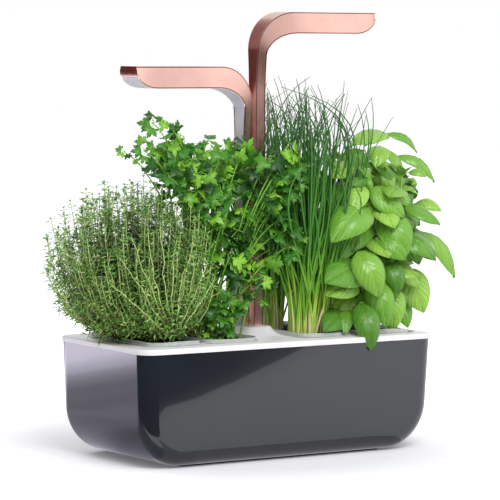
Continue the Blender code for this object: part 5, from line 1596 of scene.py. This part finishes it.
class GARDEN_OT_workings(bpy.types.Operator):
    """Finishes of the tank, wicks, boards, leads, feet and small fittings"""

    bl_idname = "garden.workings"
    bl_label = "Workings"

    def execute(self, context):
        settings = context.scene.garden_tub
        rubber = moulded_plastic("black_epdm_rubber", hex_colour("#161616"), 0.8, 1.0, 0.05)
        black = moulded_plastic("black_abs", hex_colour("#1C1D1F"), 0.45)
        board = circuit_board()
        steel = satin_metal("zinc_plated_steel", hex_colour("#B9BBBD"), 0.35)
        aluminium = satin_metal("extruded_aluminium", hex_colour("#C6C8CB"), 0.40)
        frosted = moulded_plastic("frosted_acrylic", hex_colour("#EDEDEA"), 0.45, 0.4, 0.02, 1.49)
        white = moulded_plastic("white_abs_button", hex_colour("#E6E4E6"), 0.35)
        felt = wool_felt(hex_colour("#D9D6CB"))
        foam = moulded_plastic("red_float_foam", hex_colour("#C2492F"), 0.7, 1.5, 0.15)
        tank = moulded_plastic("grey_polypropylene", settings.tank_colour, 0.42, 0.9, 0.02, 1.49)
        finishes = {
            "water_tank": tank, "front_foot": rubber, "rear_foot": rubber, "mast_well": black,
            "left_friction_pad": rubber, "right_friction_pad": rubber, "control_box": black,
            "control_board": board, "led_driver": black, "button_switch": steel, "power_inlet": black,
            "status_light": frosted, "power_button": white, "well_screw_front": steel,
            "well_screw_rear": steel, "level_rod": steel, "level_float": foam,
        }
        for herb in WELL_X:
            finishes[f"{herb}_wick"] = felt
        for hand in ("left", "right"):
            finishes.update({f"{hand}_diffuser": frosted, f"{hand}_led_board": board,
                             f"{hand}_heat_sink": aluminium, f"{hand}_harness": black,
                             f"{hand}_end_plug": black})
            low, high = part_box(f"{hand}_lead")
            lead = finish_piece(f"{hand}_coiled_lead", tubes([coiled_lead(low, high)], 1), black, None,
                                [f"{hand}_lead"], 180)
            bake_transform(lead)
        for name, finish in finishes.items():
            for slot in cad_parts[name].material_slots:
                slot.material = finish
        return {"FINISHED"}


OPERATORS = (GARDEN_OT_stage, GARDEN_OT_tub, GARDEN_OT_tray, GARDEN_OT_cartridges, GARDEN_OT_thyme,
             GARDEN_OT_parsley, GARDEN_OT_chives, GARDEN_OT_basil, GARDEN_OT_lamps, GARDEN_OT_workings)
SETTINGS = (("garden_stage", StageSettings), ("garden_tub", TubSettings), ("garden_lamps", LampSettings),
            ("garden_herbs", HerbSettings))


class GARDEN_PT_panel(bpy.types.Panel):
    """Sizes, colours and steps of the herb garden"""

    bl_idname = "GARDEN_PT_panel"
    bl_label = "Herb garden"
    bl_space_type = "VIEW_3D"
    bl_region_type = "UI"
    bl_category = "Herb garden"

    def draw(self, context):
        for name, group in SETTINGS:
            box = self.layout.box()
            settings = getattr(context.scene, name)
            for key in group.__annotations__:
                box.prop(settings, key)
        for step in OPERATORS:
            self.layout.operator(step.bl_idname)


def register():
    for name, group in SETTINGS:
        bpy.utils.register_class(group)
        setattr(bpy.types.Scene, name, PointerProperty(type=group))
    for made in (*OPERATORS, GARDEN_PT_panel):
        bpy.utils.register_class(made)


def unregister():
    for made in reversed((*OPERATORS, GARDEN_PT_panel)):
        bpy.utils.unregister_class(made)
    for name, group in reversed(SETTINGS):
        delattr(bpy.types.Scene, name)
        bpy.utils.unregister_class(group)


def main():
    register()
    for step in OPERATORS:
        group, name = step.bl_idname.split(".")
        getattr(getattr(bpy.ops, group), name)()


if __name__ == "__main__":
    main()
